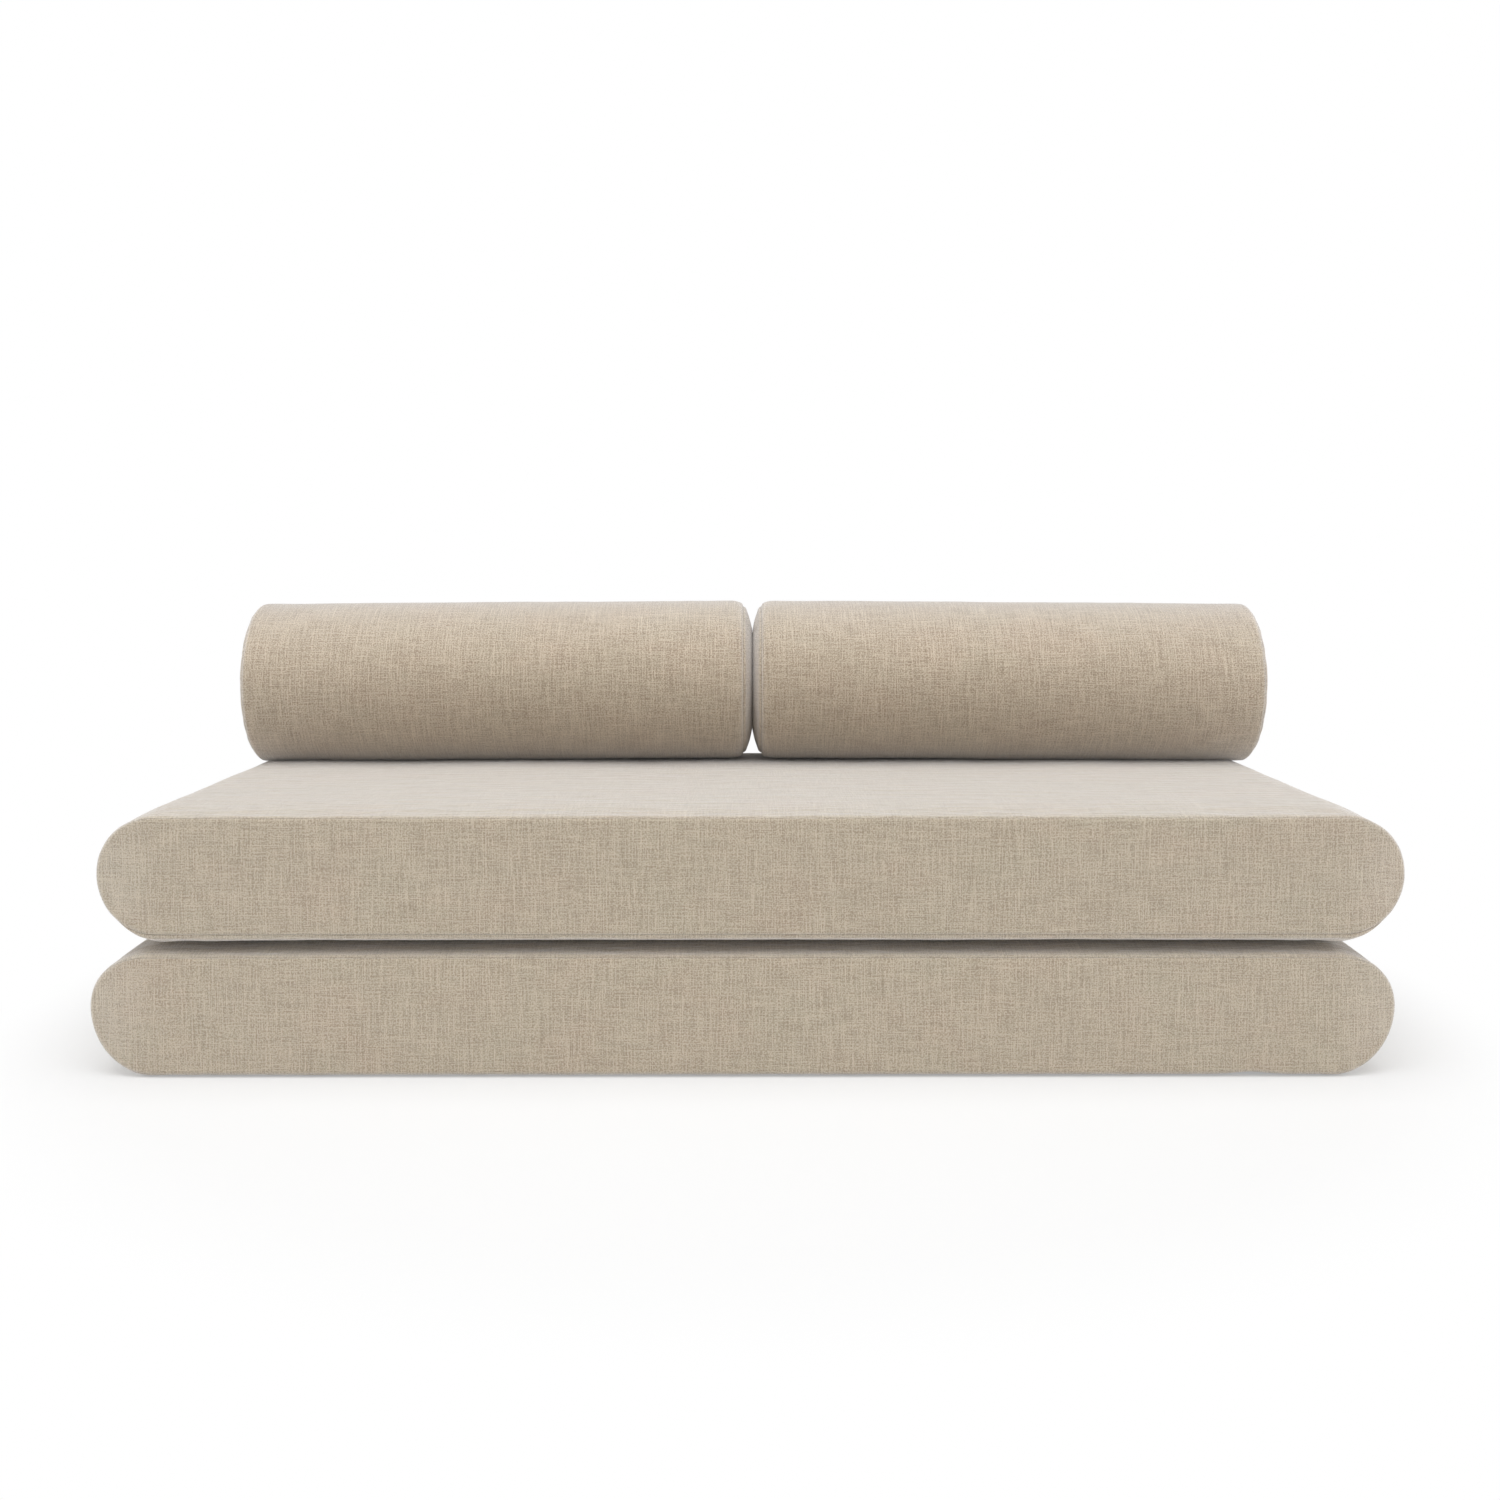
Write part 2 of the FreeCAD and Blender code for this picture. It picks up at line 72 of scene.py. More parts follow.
# The body that each cushion and its zip ride on
BODIES = {
    "lower": "lower_mattress",
    "upper": "upper_mattress",
    "bolster_left": "left_bolster",
    "bolster_right": "right_bolster",
}
# The cushions' cloth map, and the attributes with each point's distance from its seam and its place along it
CUT_MAP = "cut"
GAP = "seam_gap"
RUN = "seam_run"
# Where the panels lie on the cloth map, in metres: bands above BAND_START, bolsters below BOLSTER_STOP
BAND_START = 6.5
BOLSTER_STOP = -1.0
BAND_AT = (BAND_START + 0.5, 3.0)
FRONT_AT = 1.0
REAR_AT = 5.0
SHEATH_AT = (BOLSTER_STOP - 2.5, 2.0)
DISC_AT = (BOLSTER_STOP - 6.0, 4.0)


def linear(red, green, blue):
    """A colour given in display values from 0 to 255, as the linear values that Blender's colours hold."""
    shares = [v / 255 for v in (red, green, blue)]
    return tuple(s / 12.92 if s <= 0.04045 else ((s + 0.055) / 1.055) ** 2.4 for s in shares)


def length(name, description, default):
    """A length property in metres."""
    return FloatProperty(name=name, description=description, default=default, unit="LENGTH", precision=4)


def share(name, description, default, low=0.0, high=1.0):
    """A plain number property."""
    return FloatProperty(name=name, description=description, default=default, min=low, max=high)


def power(name, description, default):
    """A lamp's power property in watts."""
    return FloatProperty(name=name, description=description, default=default, subtype="POWER")


def angle(name, description, default):
    """An angle property in radians."""
    return FloatProperty(name=name, description=description, default=default, subtype="ANGLE")


def colour(name, description, red, green, blue):
    """A colour property."""
    default = linear(red, green, blue)
    return FloatVectorProperty(
        name=name, description=description, default=default, subtype="COLOR", size=3, min=0.0, max=1.0
    )


class CoverSettings(bpy.types.PropertyGroup):
    """The slub chenille of the covers."""

    ground: colour("Ground", "Colour of the ground threads", 167, 153, 132)
    slub: colour("Slub", "Colour of the pale thick threads", 201, 189, 168)
    hollow: colour("Hollow", "Colour between the threads", 134, 117, 95)
    blush: colour("Blush", "Warm tint of the dye", 170, 151, 130)
    moss: colour("Moss", "Cool tint of the dye", 164, 154, 132)
    # Painted shade: the next tint darkens and warms the bolsters' colour, for the lower light that falls on
    # them
    turned: colour("Turned", "Tint where the pile lies the other way, on the bolsters", 248, 245, 244)
    # Painted sheen: the next two settings mix a pale neutral into the bands' colour, for the light that the
    # pile catches, and set how much of it shows
    painted_sheen: colour("Bloom", "Colour of the laid pile on the mattresses' bands", 225, 222, 220)
    laid: share("Laid", "How much of the bloom shows", 0.06)
    sheen: share("Sheen", "Strength of the pile's sheen", 1.0)
    sheen_spread: share("Sheen spread", "Roughness of the pile's sheen", 0.57)
    thread: length("Thread", "Spacing of the ground threads", 0.0016)
    relief: length("Relief", "Height of the weave", 0.0005)


class CushionSettings(bpy.types.PropertyGroup):
    """How full and how tightly sewn the cushions are."""

    swell: length("Swell", "How far the filling pushes the cover out", 0.004)
    pressure: share("Pressure", "Pressure of the filling", 4.0, 0.0, 50.0)
    frames: IntProperty(name="Frames", description="Steps of the filling's simulation", default=20, min=2)
    seam_depth: length("Seam depth", "How deep the seams pull in", 0.0017)
    pucker: length("Pucker", "Height of the gathers along the seams", 0.0006)
    unevenness: length("Unevenness", "Height of the foam's slow waves", 0.0011)
    droop: length("Droop", "How far the bolsters' outer ends hang", 0.006)
    plump: length("Plump", "How far the bolsters' tops stand up", 0.005)
    lift: length("Lift", "Height of the raised place in the lower front edge", 0.004)


class ZipSettings(bpy.types.PropertyGroup):
    """The four zips."""

    pitch: length("Pitch", "Spacing of the coil's turns", 0.0024)
    tape: colour("Tape", "Colour of the tapes", 176, 163, 143)
    coil: colour("Coil", "Colour of the coils", 118, 106, 90)
    metal: colour("Metal", "Colour of the sliders, pulls and stops", 170, 165, 156)


class ClothSettings(bpy.types.PropertyGroup):
    """The hinge cloth and the base cloth."""

    hinge: colour("Hinge", "Colour of the hinge cloth", 186, 173, 153)
    stitch: colour("Stitch", "Colour of the sewing thread", 196, 186, 168)
    stitch_pitch: length("Stitch pitch", "Spacing of the stitches", 0.0042)
    base: colour("Base", "Colour of the base cloth", 46, 44, 43)
    grip: colour("Grip", "Colour of the grip dots", 28, 27, 27)
    grip_pitch: length("Grip pitch", "Spacing of the grip dots", 0.012)


class StageSettings(bpy.types.PropertyGroup):
    """Floor, light and camera."""

    floor: colour("Floor", "Colour of the floor as it lights the pieces", 248, 248, 248)
    floor_seen: colour("Floor seen", "Colour of the floor as the camera sees it", 222, 222, 222)
    clear: share("Clear", "How much of the floor's shadow is cleared", 0.36)
    sky: share("Sky", "Level of the even light", 0.48, 0.0, 10.0)
    overhead: power("Overhead", "Power of the overhead lamp", 106.0)
    left_fill: power("Left fill", "Power of the left lamp", 7.0)
    right_fill: power("Right fill", "Power of the right lamp", 11.0)
    camera_at: FloatVectorProperty(
        name="Camera",
        description="Where the camera stands",
        default=(-0.0022, -2.7823, 0.7841),
        subtype="XYZ",
    )
    pitch: angle("Pitch", "How far the camera looks down", 0.06)
    yaw: angle("Yaw", "How far the camera looks right", 0.00266)
    lens: share("Lens", "Focal length in millimetres on a 36 mm frame", 38.256, 1.0, 200.0)
    shift: share("Shift", "Upward shift of the frame", -0.0623, -1.0, 1.0)


def settings(kind):
    """One group of the add-on's settings."""
    return getattr(bpy.context.scene, "sofa_bed_" + kind)


# Selecting and finishing pieces


def deselect():
    """Leaves nothing selected."""
    bpy.ops.object.select_all(action="DESELECT")


def activate(piece):
    """Leaves one piece selected and active."""
    deselect()
    piece.select_set(True)
    bpy.context.view_layer.objects.active = piece


def apply_modifiers(piece):
    """Makes a piece's modifiers part of its mesh."""
    activate(piece)
    for modifier in list(piece.modifiers):
        bpy.ops.object.modifier_apply(modifier=modifier.name)


def apply_place(piece):
    """Puts a piece's place, turn and scale into its mesh."""
    activate(piece)
    bpy.ops.object.transform_apply(location=True, rotation=True, scale=True)


def join(name, pieces):
    """Joins several pieces into one."""
    deselect()
    for piece in pieces:
        piece.select_set(True)
    bpy.context.view_layer.objects.active = pieces[0]
    bpy.ops.object.join()
    pieces[0].name = name
    pieces[0].data.name = name
    return pieces[0]


def smooth(piece, degrees=40):
    """Smooth shading that keeps the sharp edges."""
    activate(piece)
    bpy.ops.object.shade_smooth_by_angle(angle=math.radians(degrees))


def finish_piece(piece, material, body, slot, nodes=()):
    """Gives a piece its material and the body that it rides on, and hides the nodes that it stands for."""
    piece.data.materials.clear()
    piece.data.materials.append(material)
    if nodes:
        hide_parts(*nodes)
    if body:
        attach(piece, body)


# Shader nodes


def feed(tree, node, values):
    """Sets or links a node's inputs."""
    for socket, value in values.items():
        if isinstance(value, bpy.types.NodeSocket):
            tree.links.new(value, node.inputs[socket])
        else:
            node.inputs[socket].default_value = value


def put(tree, kind, values=None, **options):
    """Adds a node, sets its options, and sets or links its inputs."""
    node = tree.nodes.new(kind)
    for option, value in options.items():
        setattr(node, option, value)
    feed(tree, node, values or {})
    return node


def calc(tree, operation, first, second=None, clamp=False):
    """One step of arithmetic on one or two values."""
    values = {0: first} if second is None else {0: first, 1: second}
    return put(tree, "ShaderNodeMath", values, operation=operation, use_clamp=clamp).outputs[0]


def add(tree, total, *others):
    """The sum of several values."""
    for value in others:
        total = calc(tree, "ADD", total, value)
    return total


def times(tree, total, *others):
    """The product of several values."""
    for value in others:
        total = calc(tree, "MULTIPLY", total, value)
    return total


def ramp(tree, value, low, high, start=0.0, stop=1.0):
    """A value taken smoothly from one range to another."""
    values = {"Value": value, "From Min": low, "From Max": high, "To Min": start, "To Max": stop}
    return put(tree, "ShaderNodeMapRange", values, interpolation_type="SMOOTHSTEP").outputs["Result"]


def split(tree, vector):
    """A vector's three parts."""
    return put(tree, "ShaderNodeSeparateXYZ", {0: vector}).outputs


def scale_and_move(tree, vector, scale, move):
    """A vector multiplied by one vector and moved by another."""
    values = {0: vector, 1: scale, 2: move}
    return put(tree, "ShaderNodeVectorMath", values, operation="MULTIPLY_ADD").outputs[0]


def mix_colour(tree, factor, first, second, blend="MIX"):
    """Two colours mixed by a factor."""
    node = put(tree, "ShaderNodeMix", data_type="RGBA", blend_type=blend)
    places = {socket.identifier: i for i, socket in enumerate(node.inputs)}
    values = {"Factor_Float": factor, "A_Color": first, "B_Color": second}
    feed(tree, node, {places[name]: value for name, value in values.items()})
    return next(s for s in node.outputs if s.identifier == "Result_Color")


def shaded(tree, first, level):
    """A colour made lighter or darker by a level."""
    grey = put(tree, "ShaderNodeCombineColor", {"Red": level, "Green": level, "Blue": level}).outputs[0]
    return mix_colour(tree, 1.0, first, grey, "MULTIPLY")


def speckle(tree, vector, scale, detail, dimensions="3D"):
    """Even noise with so many cells in a metre."""
    values = {"Vector": vector, "Scale": scale, "Detail": detail}
    return put(tree, "ShaderNodeTexNoise", values, noise_dimensions=dimensions).outputs


def grain(tree, vector, across, along, detail=2.0, roughness=0.55, offset=0.0):
    """Flat noise whose cells are so many metres across and along."""
    scaled = scale_and_move(tree, vector, (1 / across, 1 / along, 1.0), (offset, offset * 1.7, 0.0))
    values = {"Vector": scaled, "Scale": 1.0, "Detail": detail, "Roughness": roughness}
    return put(tree, "ShaderNodeTexNoise", values, noise_dimensions="2D").outputs["Fac"]


def shared(store, name, maker, *values):
    """A material or a node group, made the first time that it is asked for."""
    return store.get(name) or maker(name, *values)


def new_group(name, inputs, outputs):
    """An empty shader node group with named sockets, and the nodes at its two ends."""
    tree = bpy.data.node_groups.new(name, "ShaderNodeTree")
    for socket, kind in inputs.items():
        tree.interface.new_socket(socket, in_out="INPUT", socket_type=kind)
    for socket in outputs:
        tree.interface.new_socket(socket, in_out="OUTPUT", socket_type="NodeSocketFloat")
    return tree, tree.nodes.new("NodeGroupInput"), tree.nodes.new("NodeGroupOutput")


# The threads up and across the cloth, in metres: the yarns' spacing, cell sizes of the thin threads,
# the flecks and the yarns' sway, the width of threads that slide together, and how far they slide along
SLUB_THREADS = (
    (0.0052, (0.0017, 0.060), (0.0019, 0.0030), (0.018, 0.075), (0.0027, 40.0), (0.0, 0.22, 0.0)),
    (0.0047, (0.045, 0.0017), (0.0034, 0.0018), (0.060, 0.016), (40.0, 0.0025), (0.22, 0.0, 0.0)),
)
# How many spacings the yarns sway, and how much of the threads' pattern they make up
YARN_SWAY = 3.0
YARN_SHARE = 0.05


def slub_group(name):
    """Irregular thick and thin threads both ways: how pale, how dark and how high each spot is."""
    tree, start, end = new_group(name, {"Place": "NodeSocketVector"}, ("Pale", "Dark", "Height"))
    place = start.outputs["Place"]
    parts = split(tree, place)
    threads = []
    for axis, (pitch, thin, fleck, sway, apart, slide) in enumerate(SLUB_THREADS):
        lag = grain(tree, place, *apart, 1.0, 0.5, 41.0 + axis)
        slid = scale_and_move(tree, lag, slide, place)
        line = grain(tree, slid, *thin, 1.5, 0.5, 3.3 * axis)
        bend = times(tree, grain(tree, place, *sway, 2.0, 0.6, 17.0 + axis), YARN_SWAY)
        turn = add(tree, calc(tree, "DIVIDE", parts[axis], pitch), bend)
        yarn = times(tree, calc(tree, "COSINE", times(tree, turn, 2 * math.pi)), YARN_SHARE)
        broken = calc(tree, "SUBTRACT", grain(tree, place, *fleck, 1.0, 0.5, 7.1 + axis), 0.5)
        threads.append(add(tree, line, yarn, broken))
    up, over = threads
    pale = calc(tree, "MAXIMUM", ramp(tree, up, 0.46, 0.80), ramp(tree, over, 0.49, 0.82, 0.0, 0.92))
    both = times(tree, add(tree, up, over), 0.5)
    raised = add(tree, times(tree, pale, 0.5), times(tree, both, 0.8))
    feed(tree, end, {"Pale": pale, "Dark": ramp(tree, both, 0.52, 0.28), "Height": raised})
    return tree


def weave_group(name):
    """A plain over-and-under weave: the height of each spot in threads of a given spacing."""
    sockets = {"Place": "NodeSocketVector", "Thread": "NodeSocketFloat"}
    tree, start, end = new_group(name, sockets, ("Height",))
    place = start.outputs["Place"]
    wobble = speckle(tree, place, 160.0, 1.0, "2D")["Color"]
    parts = split(tree, scale_and_move(tree, wobble, (0.0009, 0.0009, 0.0), place))
    cells = [calc(tree, "DIVIDE", parts[i], start.outputs["Thread"]) for i in (0, 1)]
    rounds = []
    for cell in cells:
        spot = calc(tree, "SUBTRACT", calc(tree, "FRACT", cell), 0.5)
        rounds.append(calc(tree, "SUBTRACT", 1.0, times(tree, spot, spot, 3.4)))
    turn = add(tree, *(calc(tree, "FLOOR", cell) for cell in cells))
    pairs = calc(tree, "FLOOR", times(tree, turn, 0.5))
    over = calc(tree, "ABSOLUTE", calc(tree, "SUBTRACT", turn, times(tree, pairs, 2.0)))
    under = calc(tree, "SUBTRACT", 1.0, over)
    height = add(tree, times(tree, rounds[0], over), times(tree, rounds[1], under))
    feed(tree, end, {"Height": height})
    return tree


def scuff_group(name):
    """Fine scratches and dull spots on metal: how worn each spot is."""
    tree, start, end = new_group(name, {"Place": "NodeSocketVector"}, ("Wear",))
    place = start.outputs["Place"]
    brushed = scale_and_move(tree, place, (900.0, 9000.0, 9000.0), (0.0, 0.0, 0.0))
    lines = speckle(tree, brushed, 1.0, 3.0)["Fac"]
    spots = speckle(tree, place, 420.0, 2.0)["Fac"]
    feed(tree, end, {"Wear": add(tree, times(tree, lines, 0.6), times(tree, spots, 0.4))})
    return tree


def use_group(tree, name, maker, values):
    """Places a shared node group in a material, and returns its outputs."""
    return put(tree, "ShaderNodeGroup", values, node_tree=shared(bpy.data.node_groups, name, maker)).outputs


def new_material(name):
    """A material with an empty Principled shader, and its node tree."""
    material = bpy.data.materials.new(name)
    material.use_nodes = True
    tree = material.node_tree
    shader = next(n for n in tree.nodes if n.type == "BSDF_PRINCIPLED")
    return material, tree, shader


def bumped(tree, height, distance, strength=1.0):
    """A normal that follows a height."""
    values = {"Height": height, "Distance": distance, "Strength": strength}
    return put(tree, "ShaderNodeBump", values).outputs["Normal"]


def object_place(tree):
    """A piece's own coordinates."""
    return put(tree, "ShaderNodeTexCoord").outputs["Object"]


def opaque(rgb, level=1.0):
    """A colour with full alpha, at a level."""
    return (*(min(1.0, c * level) for c in rgb), 1.0)


# How strongly the hollows and the pale threads show, and how much more they do on the bolsters
DARK_SHARE = 0.61
PALE_SHARE = 0.75
VIVID = 1.3
# Heights of the short creases, of the wide ones on the bands and of the weave, beside the threads' own
SHORT_CREASES = 0.9
BAND_CREASES = 15.0
WEAVE_SHARE = 0.45


def cover_material(name):
    """The covers' slub chenille."""
    look = settings("cover")
    material, tree, shader = new_material(name)
    place = put(tree, "ShaderNodeUVMap", uv_map=CUT_MAP).outputs["UV"]
    across = split(tree, place)["X"]
    band = calc(tree, "GREATER_THAN", across, BAND_START)
    bolster = calc(tree, "LESS_THAN", across, BOLSTER_STOP)
    slub = use_group(tree, "slub_threads", slub_group, {"Place": place})
    weave = use_group(tree, "plain_weave", weave_group, {"Place": place, "Thread": look.thread})
    blush = ramp(tree, grain(tree, place, 0.16, 0.10, 3.0, 0.6, 21.0), 0.44, 0.70, 0.0, 0.6)
    moss = ramp(tree, grain(tree, place, 0.20, 0.13, 3.0, 0.6, 35.0), 0.46, 0.70, 0.0, 0.5)
    cloth = mix_colour(tree, blush, opaque(look.ground), opaque(look.blush))
    cloth = mix_colour(tree, moss, cloth, opaque(look.moss))
    vivid = ramp(tree, bolster, 0.0, 1.0, 1.0, VIVID)
    cloth = mix_colour(tree, times(tree, slub["Dark"], vivid, DARK_SHARE), cloth, opaque(look.hollow))
    cloth = mix_colour(tree, times(tree, slub["Pale"], vivid, PALE_SHARE), cloth, opaque(look.slub))
    # Painted shade: the bolsters take a darker, warmer copy of the cloth's colour, for the lower light on
    # them
    turned = mix_colour(tree, 1.0, cloth, opaque(look.turned), "MULTIPLY")
    cloth = mix_colour(tree, bolster, cloth, turned)
    # Painted sheen: the bands' colour is mixed a little towards a pale neutral, for the light that the pile
    # catches on the top
    cloth = mix_colour(tree, times(tree, band, look.laid), cloth, opaque(look.painted_sheen))
    nap = ramp(tree, grain(tree, place, 0.05, 0.02, 4.0, 0.65, 51.0), 0.3, 0.7, 0.97, 1.03)
    gap = put(tree, "ShaderNodeAttribute", attribute_name=GAP).outputs["Fac"]
    # Painted shade: the colour darkens to 0.7 of itself at the seams, for the shade in their grooves
    seam = ramp(tree, gap, 0.0003, 0.0014, 0.70, 1.0)
    short = times(tree, grain(tree, place, 0.060, 0.011, 2.0, 0.6, 63.0), SHORT_CREASES)
    wide = grain(tree, place, 0.110, 0.024, 3.0, 0.6, 63.0)
    wide = times(tree, wide, times(tree, band, BAND_CREASES))
    height = add(tree, slub["Height"], short, wide, times(tree, weave["Height"], WEAVE_SHARE))
    feed(tree, shader, {
        "Base Color": shaded(tree, cloth, times(tree, nap, seam)),
        "Roughness": ramp(tree, slub["Pale"], 0.0, 1.0, 0.95, 0.82),
        "Sheen Weight": look.sheen,
        "Sheen Roughness": look.sheen_spread,
        "Sheen Tint": opaque(linear(255, 254, 255)),
        "Specular IOR Level": 0.15,
        "Normal": bumped(tree, height, look.relief, 0.8),
    })
    return material


def woven_material(name, rgb, thread, relief):
    """A plain woven cloth, tape or thread in one colour."""
    material, tree, shader = new_material(name)
    place = object_place(tree)
    parts = split(tree, place)
    flat = put(tree, "ShaderNodeCombineXYZ", {"X": parts["X"], "Y": parts["Z"]}).outputs[0]
    weave = use_group(tree, "plain_weave", weave_group, {"Place": flat, "Thread": thread})["Height"]
    blotch = speckle(tree, place, 60.0, 4.0)["Fac"]
    level = times(tree, ramp(tree, weave, 0.2, 0.9, 0.72, 1.05), ramp(tree, blotch, 0.3, 0.7, 0.9, 1.08))
    feed(tree, shader, {
        "Base Color": shaded(tree, opaque(rgb), level),
        "Roughness": ramp(tree, blotch, 0.2, 0.8, 0.75, 0.95),
        "Specular IOR Level": 0.2,
        "Normal": bumped(tree, weave, relief),
    })
    return material


def thread_material():
    """The sewing thread of the zips and the hinge cloth."""
    rgb = settings("cloths").stitch
    return shared(bpy.data.materials, "sewing_thread", woven_material, rgb, 0.0003, 0.0001)


def coil_material(name):
    """The zips' nylon coil."""
    material, tree, shader = new_material(name)
    spots = speckle(tree, object_place(tree), 300.0, 3.0)["Fac"]
    rgb = settings("zips").coil
    feed(tree, shader, {
        "Base Color": mix_colour(tree, ramp(tree, spots, 0.45, 0.75), opaque(rgb), opaque(rgb, 1.5)),
        "Roughness": ramp(tree, spots, 0.2, 0.8, 0.32, 0.55),
    })
    return material


def metal_material(name):
    """The sliders', pulls' and stops' brushed metal."""
    material, tree, shader = new_material(name)
    wear = use_group(tree, "scuffs", scuff_group, {"Place": object_place(tree)})["Wear"]
    rgb = settings("zips").metal
    feed(tree, shader, {
        "Base Color": mix_colour(tree, ramp(tree, wear, 0.4, 0.65), opaque(rgb, 0.6), opaque(rgb)),
        "Roughness": ramp(tree, wear, 0.3, 0.7, 0.42, 0.24),
        "Metallic": 1.0,
        "Normal": bumped(tree, wear, 0.00003),
    })
    return material


def base_material(name):
    """The dark base cloth with its rows of grip dots."""
    look = settings("cloths")
    material, tree, shader = new_material(name)
    place = object_place(tree)
    weave = use_group(tree, "plain_weave", weave_group, {"Place": place, "Thread": 0.0011})["Height"]
    parts = split(tree, place)
    squares = []
    for axis in (0, 1):
        cell = calc(tree, "DIVIDE", parts[axis], look.grip_pitch)
        offset = calc(tree, "SUBTRACT", calc(tree, "FRACT", cell), 0.5)
        squares.append(times(tree, offset, offset))
    dot = ramp(tree, calc(tree, "SQRT", add(tree, *squares)), 0.24, 0.18)
    lint = ramp(tree, speckle(tree, place, 35.0, 5.0)["Fac"], 0.35, 0.75)
    cloth = mix_colour(tree, lint, opaque(look.base), opaque(look.base, 1.9))
    feed(tree, shader, {
        "Base Color": mix_colour(tree, dot, cloth, opaque(look.grip)),
        "Roughness": ramp(tree, dot, 0.0, 1.0, 0.92, 0.5),
        "Normal": bumped(tree, add(tree, times(tree, weave, 0.25), dot), 0.0006),
    })
    return material


# Cushions


def evenly(*runs):
    """Positions along a line: a start, then (stop, steps) runs that follow on from each other."""
    line = [runs[0]]
    for stop, steps in runs[1:]:
        line += list(np.linspace(line[-1], stop, steps + 1)[1:])
    return np.array(line)


# Where the points lie across the edge of a zip's opening, from outside to inside
LIP = (-5 * MM, -1.5 * MM, 0.0, 0.7 * MM, 1.6 * MM)


def opening_line(start, stop, low, high, steps):
    """Positions from start to stop, close together at both edges of a zip's opening."""
    before, between, after = steps
    first = [(low + s, 1) for s in LIP]
    last = [(high - s, 1) for s in LIP[::-1]]
    first[0] = (first[0][0], before)
    last[0] = (last[0][0], between)
    return evenly(start, *first, *last, (stop, after))


def coons(top, bottom, left, right):
    """A grid of points over four sides that meet at their ends, indexed left to right, then downwards."""
    across = np.linspace(0, 1, len(top))[:, None, None]
    down = np.linspace(0, 1, len(left))[None, :, None]
    sides = (1 - down) * top[:, None] + down * bottom[:, None]
    sides = sides + (1 - across) * left[None] + across * right[None]
    corners = (1 - across) * ((1 - down) * top[0] + down * bottom[0])
    corners = corners + across * ((1 - down) * top[-1] + down * bottom[-1])
    return sides - corners


class Cut:
    """The panels of one cushion as they are laid out: points, faces, places on the cloth and seams."""

    def __init__(self):
        self.points, self.gaps, self.runs, self.held = [], [], [], []
        self.faces, self.maps = [], []

    def add(self, points, gaps, runs=None, held=False):
        """Adds points and returns their numbers."""
        first = len(self.points)
        self.points += [tuple(p) for p in points]
        self.gaps += [float(g) for g in np.broadcast_to(gaps, len(points))]
        self.runs += [float(r) for r in (np.zeros(len(points)) if runs is None else runs)]
        self.held += [bool(h) for h in np.broadcast_to(held, len(points))]
        return np.arange(first, first + len(points))

    def face(self, corners, spots):
        """Adds one face with its place on the cloth."""
        self.faces.append([int(c) for c in corners])
        self.maps += [tuple(map(float, s)) for s in spots]

    def sheet(self, grid, spot):
        """Adds faces over a grid of point numbers. spot gives a point's place on the cloth."""
        for a, b in zip(grid[:-1], grid[1:]):
            for i in range(len(a) - 1):
                corners = (a[i], b[i], b[i + 1], a[i + 1])
                self.face(corners, [spot(c) for c in corners])

    def ring(self, outer, inner, spot):
        """Adds faces between two closed rings of point numbers."""
        self.sheet([np.append(outer, outer[0]), np.append(inner, inner[0])], spot)

    def piece(self, name):
        """The cushion as a Blender object."""
        mesh = bpy.data.meshes.new(name)
        mesh.from_pydata(self.points, [], self.faces)
        layer = mesh.uv_layers.new(name=CUT_MAP)
        layer.data.foreach_set("uv", np.array(self.maps, np.float32).ravel())
        for title, values in ((GAP, self.gaps), (RUN, self.runs)):
            made = mesh.attributes.new(title, "FLOAT", "POINT")
            made.data.foreach_set("value", np.array(values, np.float32))
        shell = bmesh.new()
        shell.from_mesh(mesh)
        bmesh.ops.recalc_face_normals(shell, faces=shell.faces)
        shell.to_mesh(mesh)
        shell.free()
        piece = bpy.data.objects.new(name, mesh)
        bpy.context.scene.collection.objects.link(piece)
        return piece


def coordinates(mesh):
    """A mesh's points as an array."""
    values = np.zeros(len(mesh.vertices) * 3, np.float32)
    mesh.vertices.foreach_get("co", values)
    return values.reshape(-1, 3).astype(float)


def normals(mesh):
    """A mesh's point normals as an array."""
    values = np.zeros(len(mesh.vertices) * 3, np.float32)
    mesh.vertex_normals.foreach_get("vector", values)
    return values.reshape(-1, 3).astype(float)


def attribute(mesh, name):
    """A mesh's point attribute as an array."""
    values = np.zeros(len(mesh.vertices), np.float32)
    mesh.attributes[name].data.foreach_get("value", values)
    return values.astype(float)


def set_coordinates(mesh, points):
    """Moves a mesh's points."""
    mesh.vertices.foreach_set("co", points.astype(np.float32).ravel())
    mesh.update()


def noise_at(spots):
    """Smooth noise at each of many places."""
    return np.array([noise.noise(Vector(s)) for s in spots])


# Share of the limit that the filling has to move a cover at the least
LEAST_FILL = 0.2


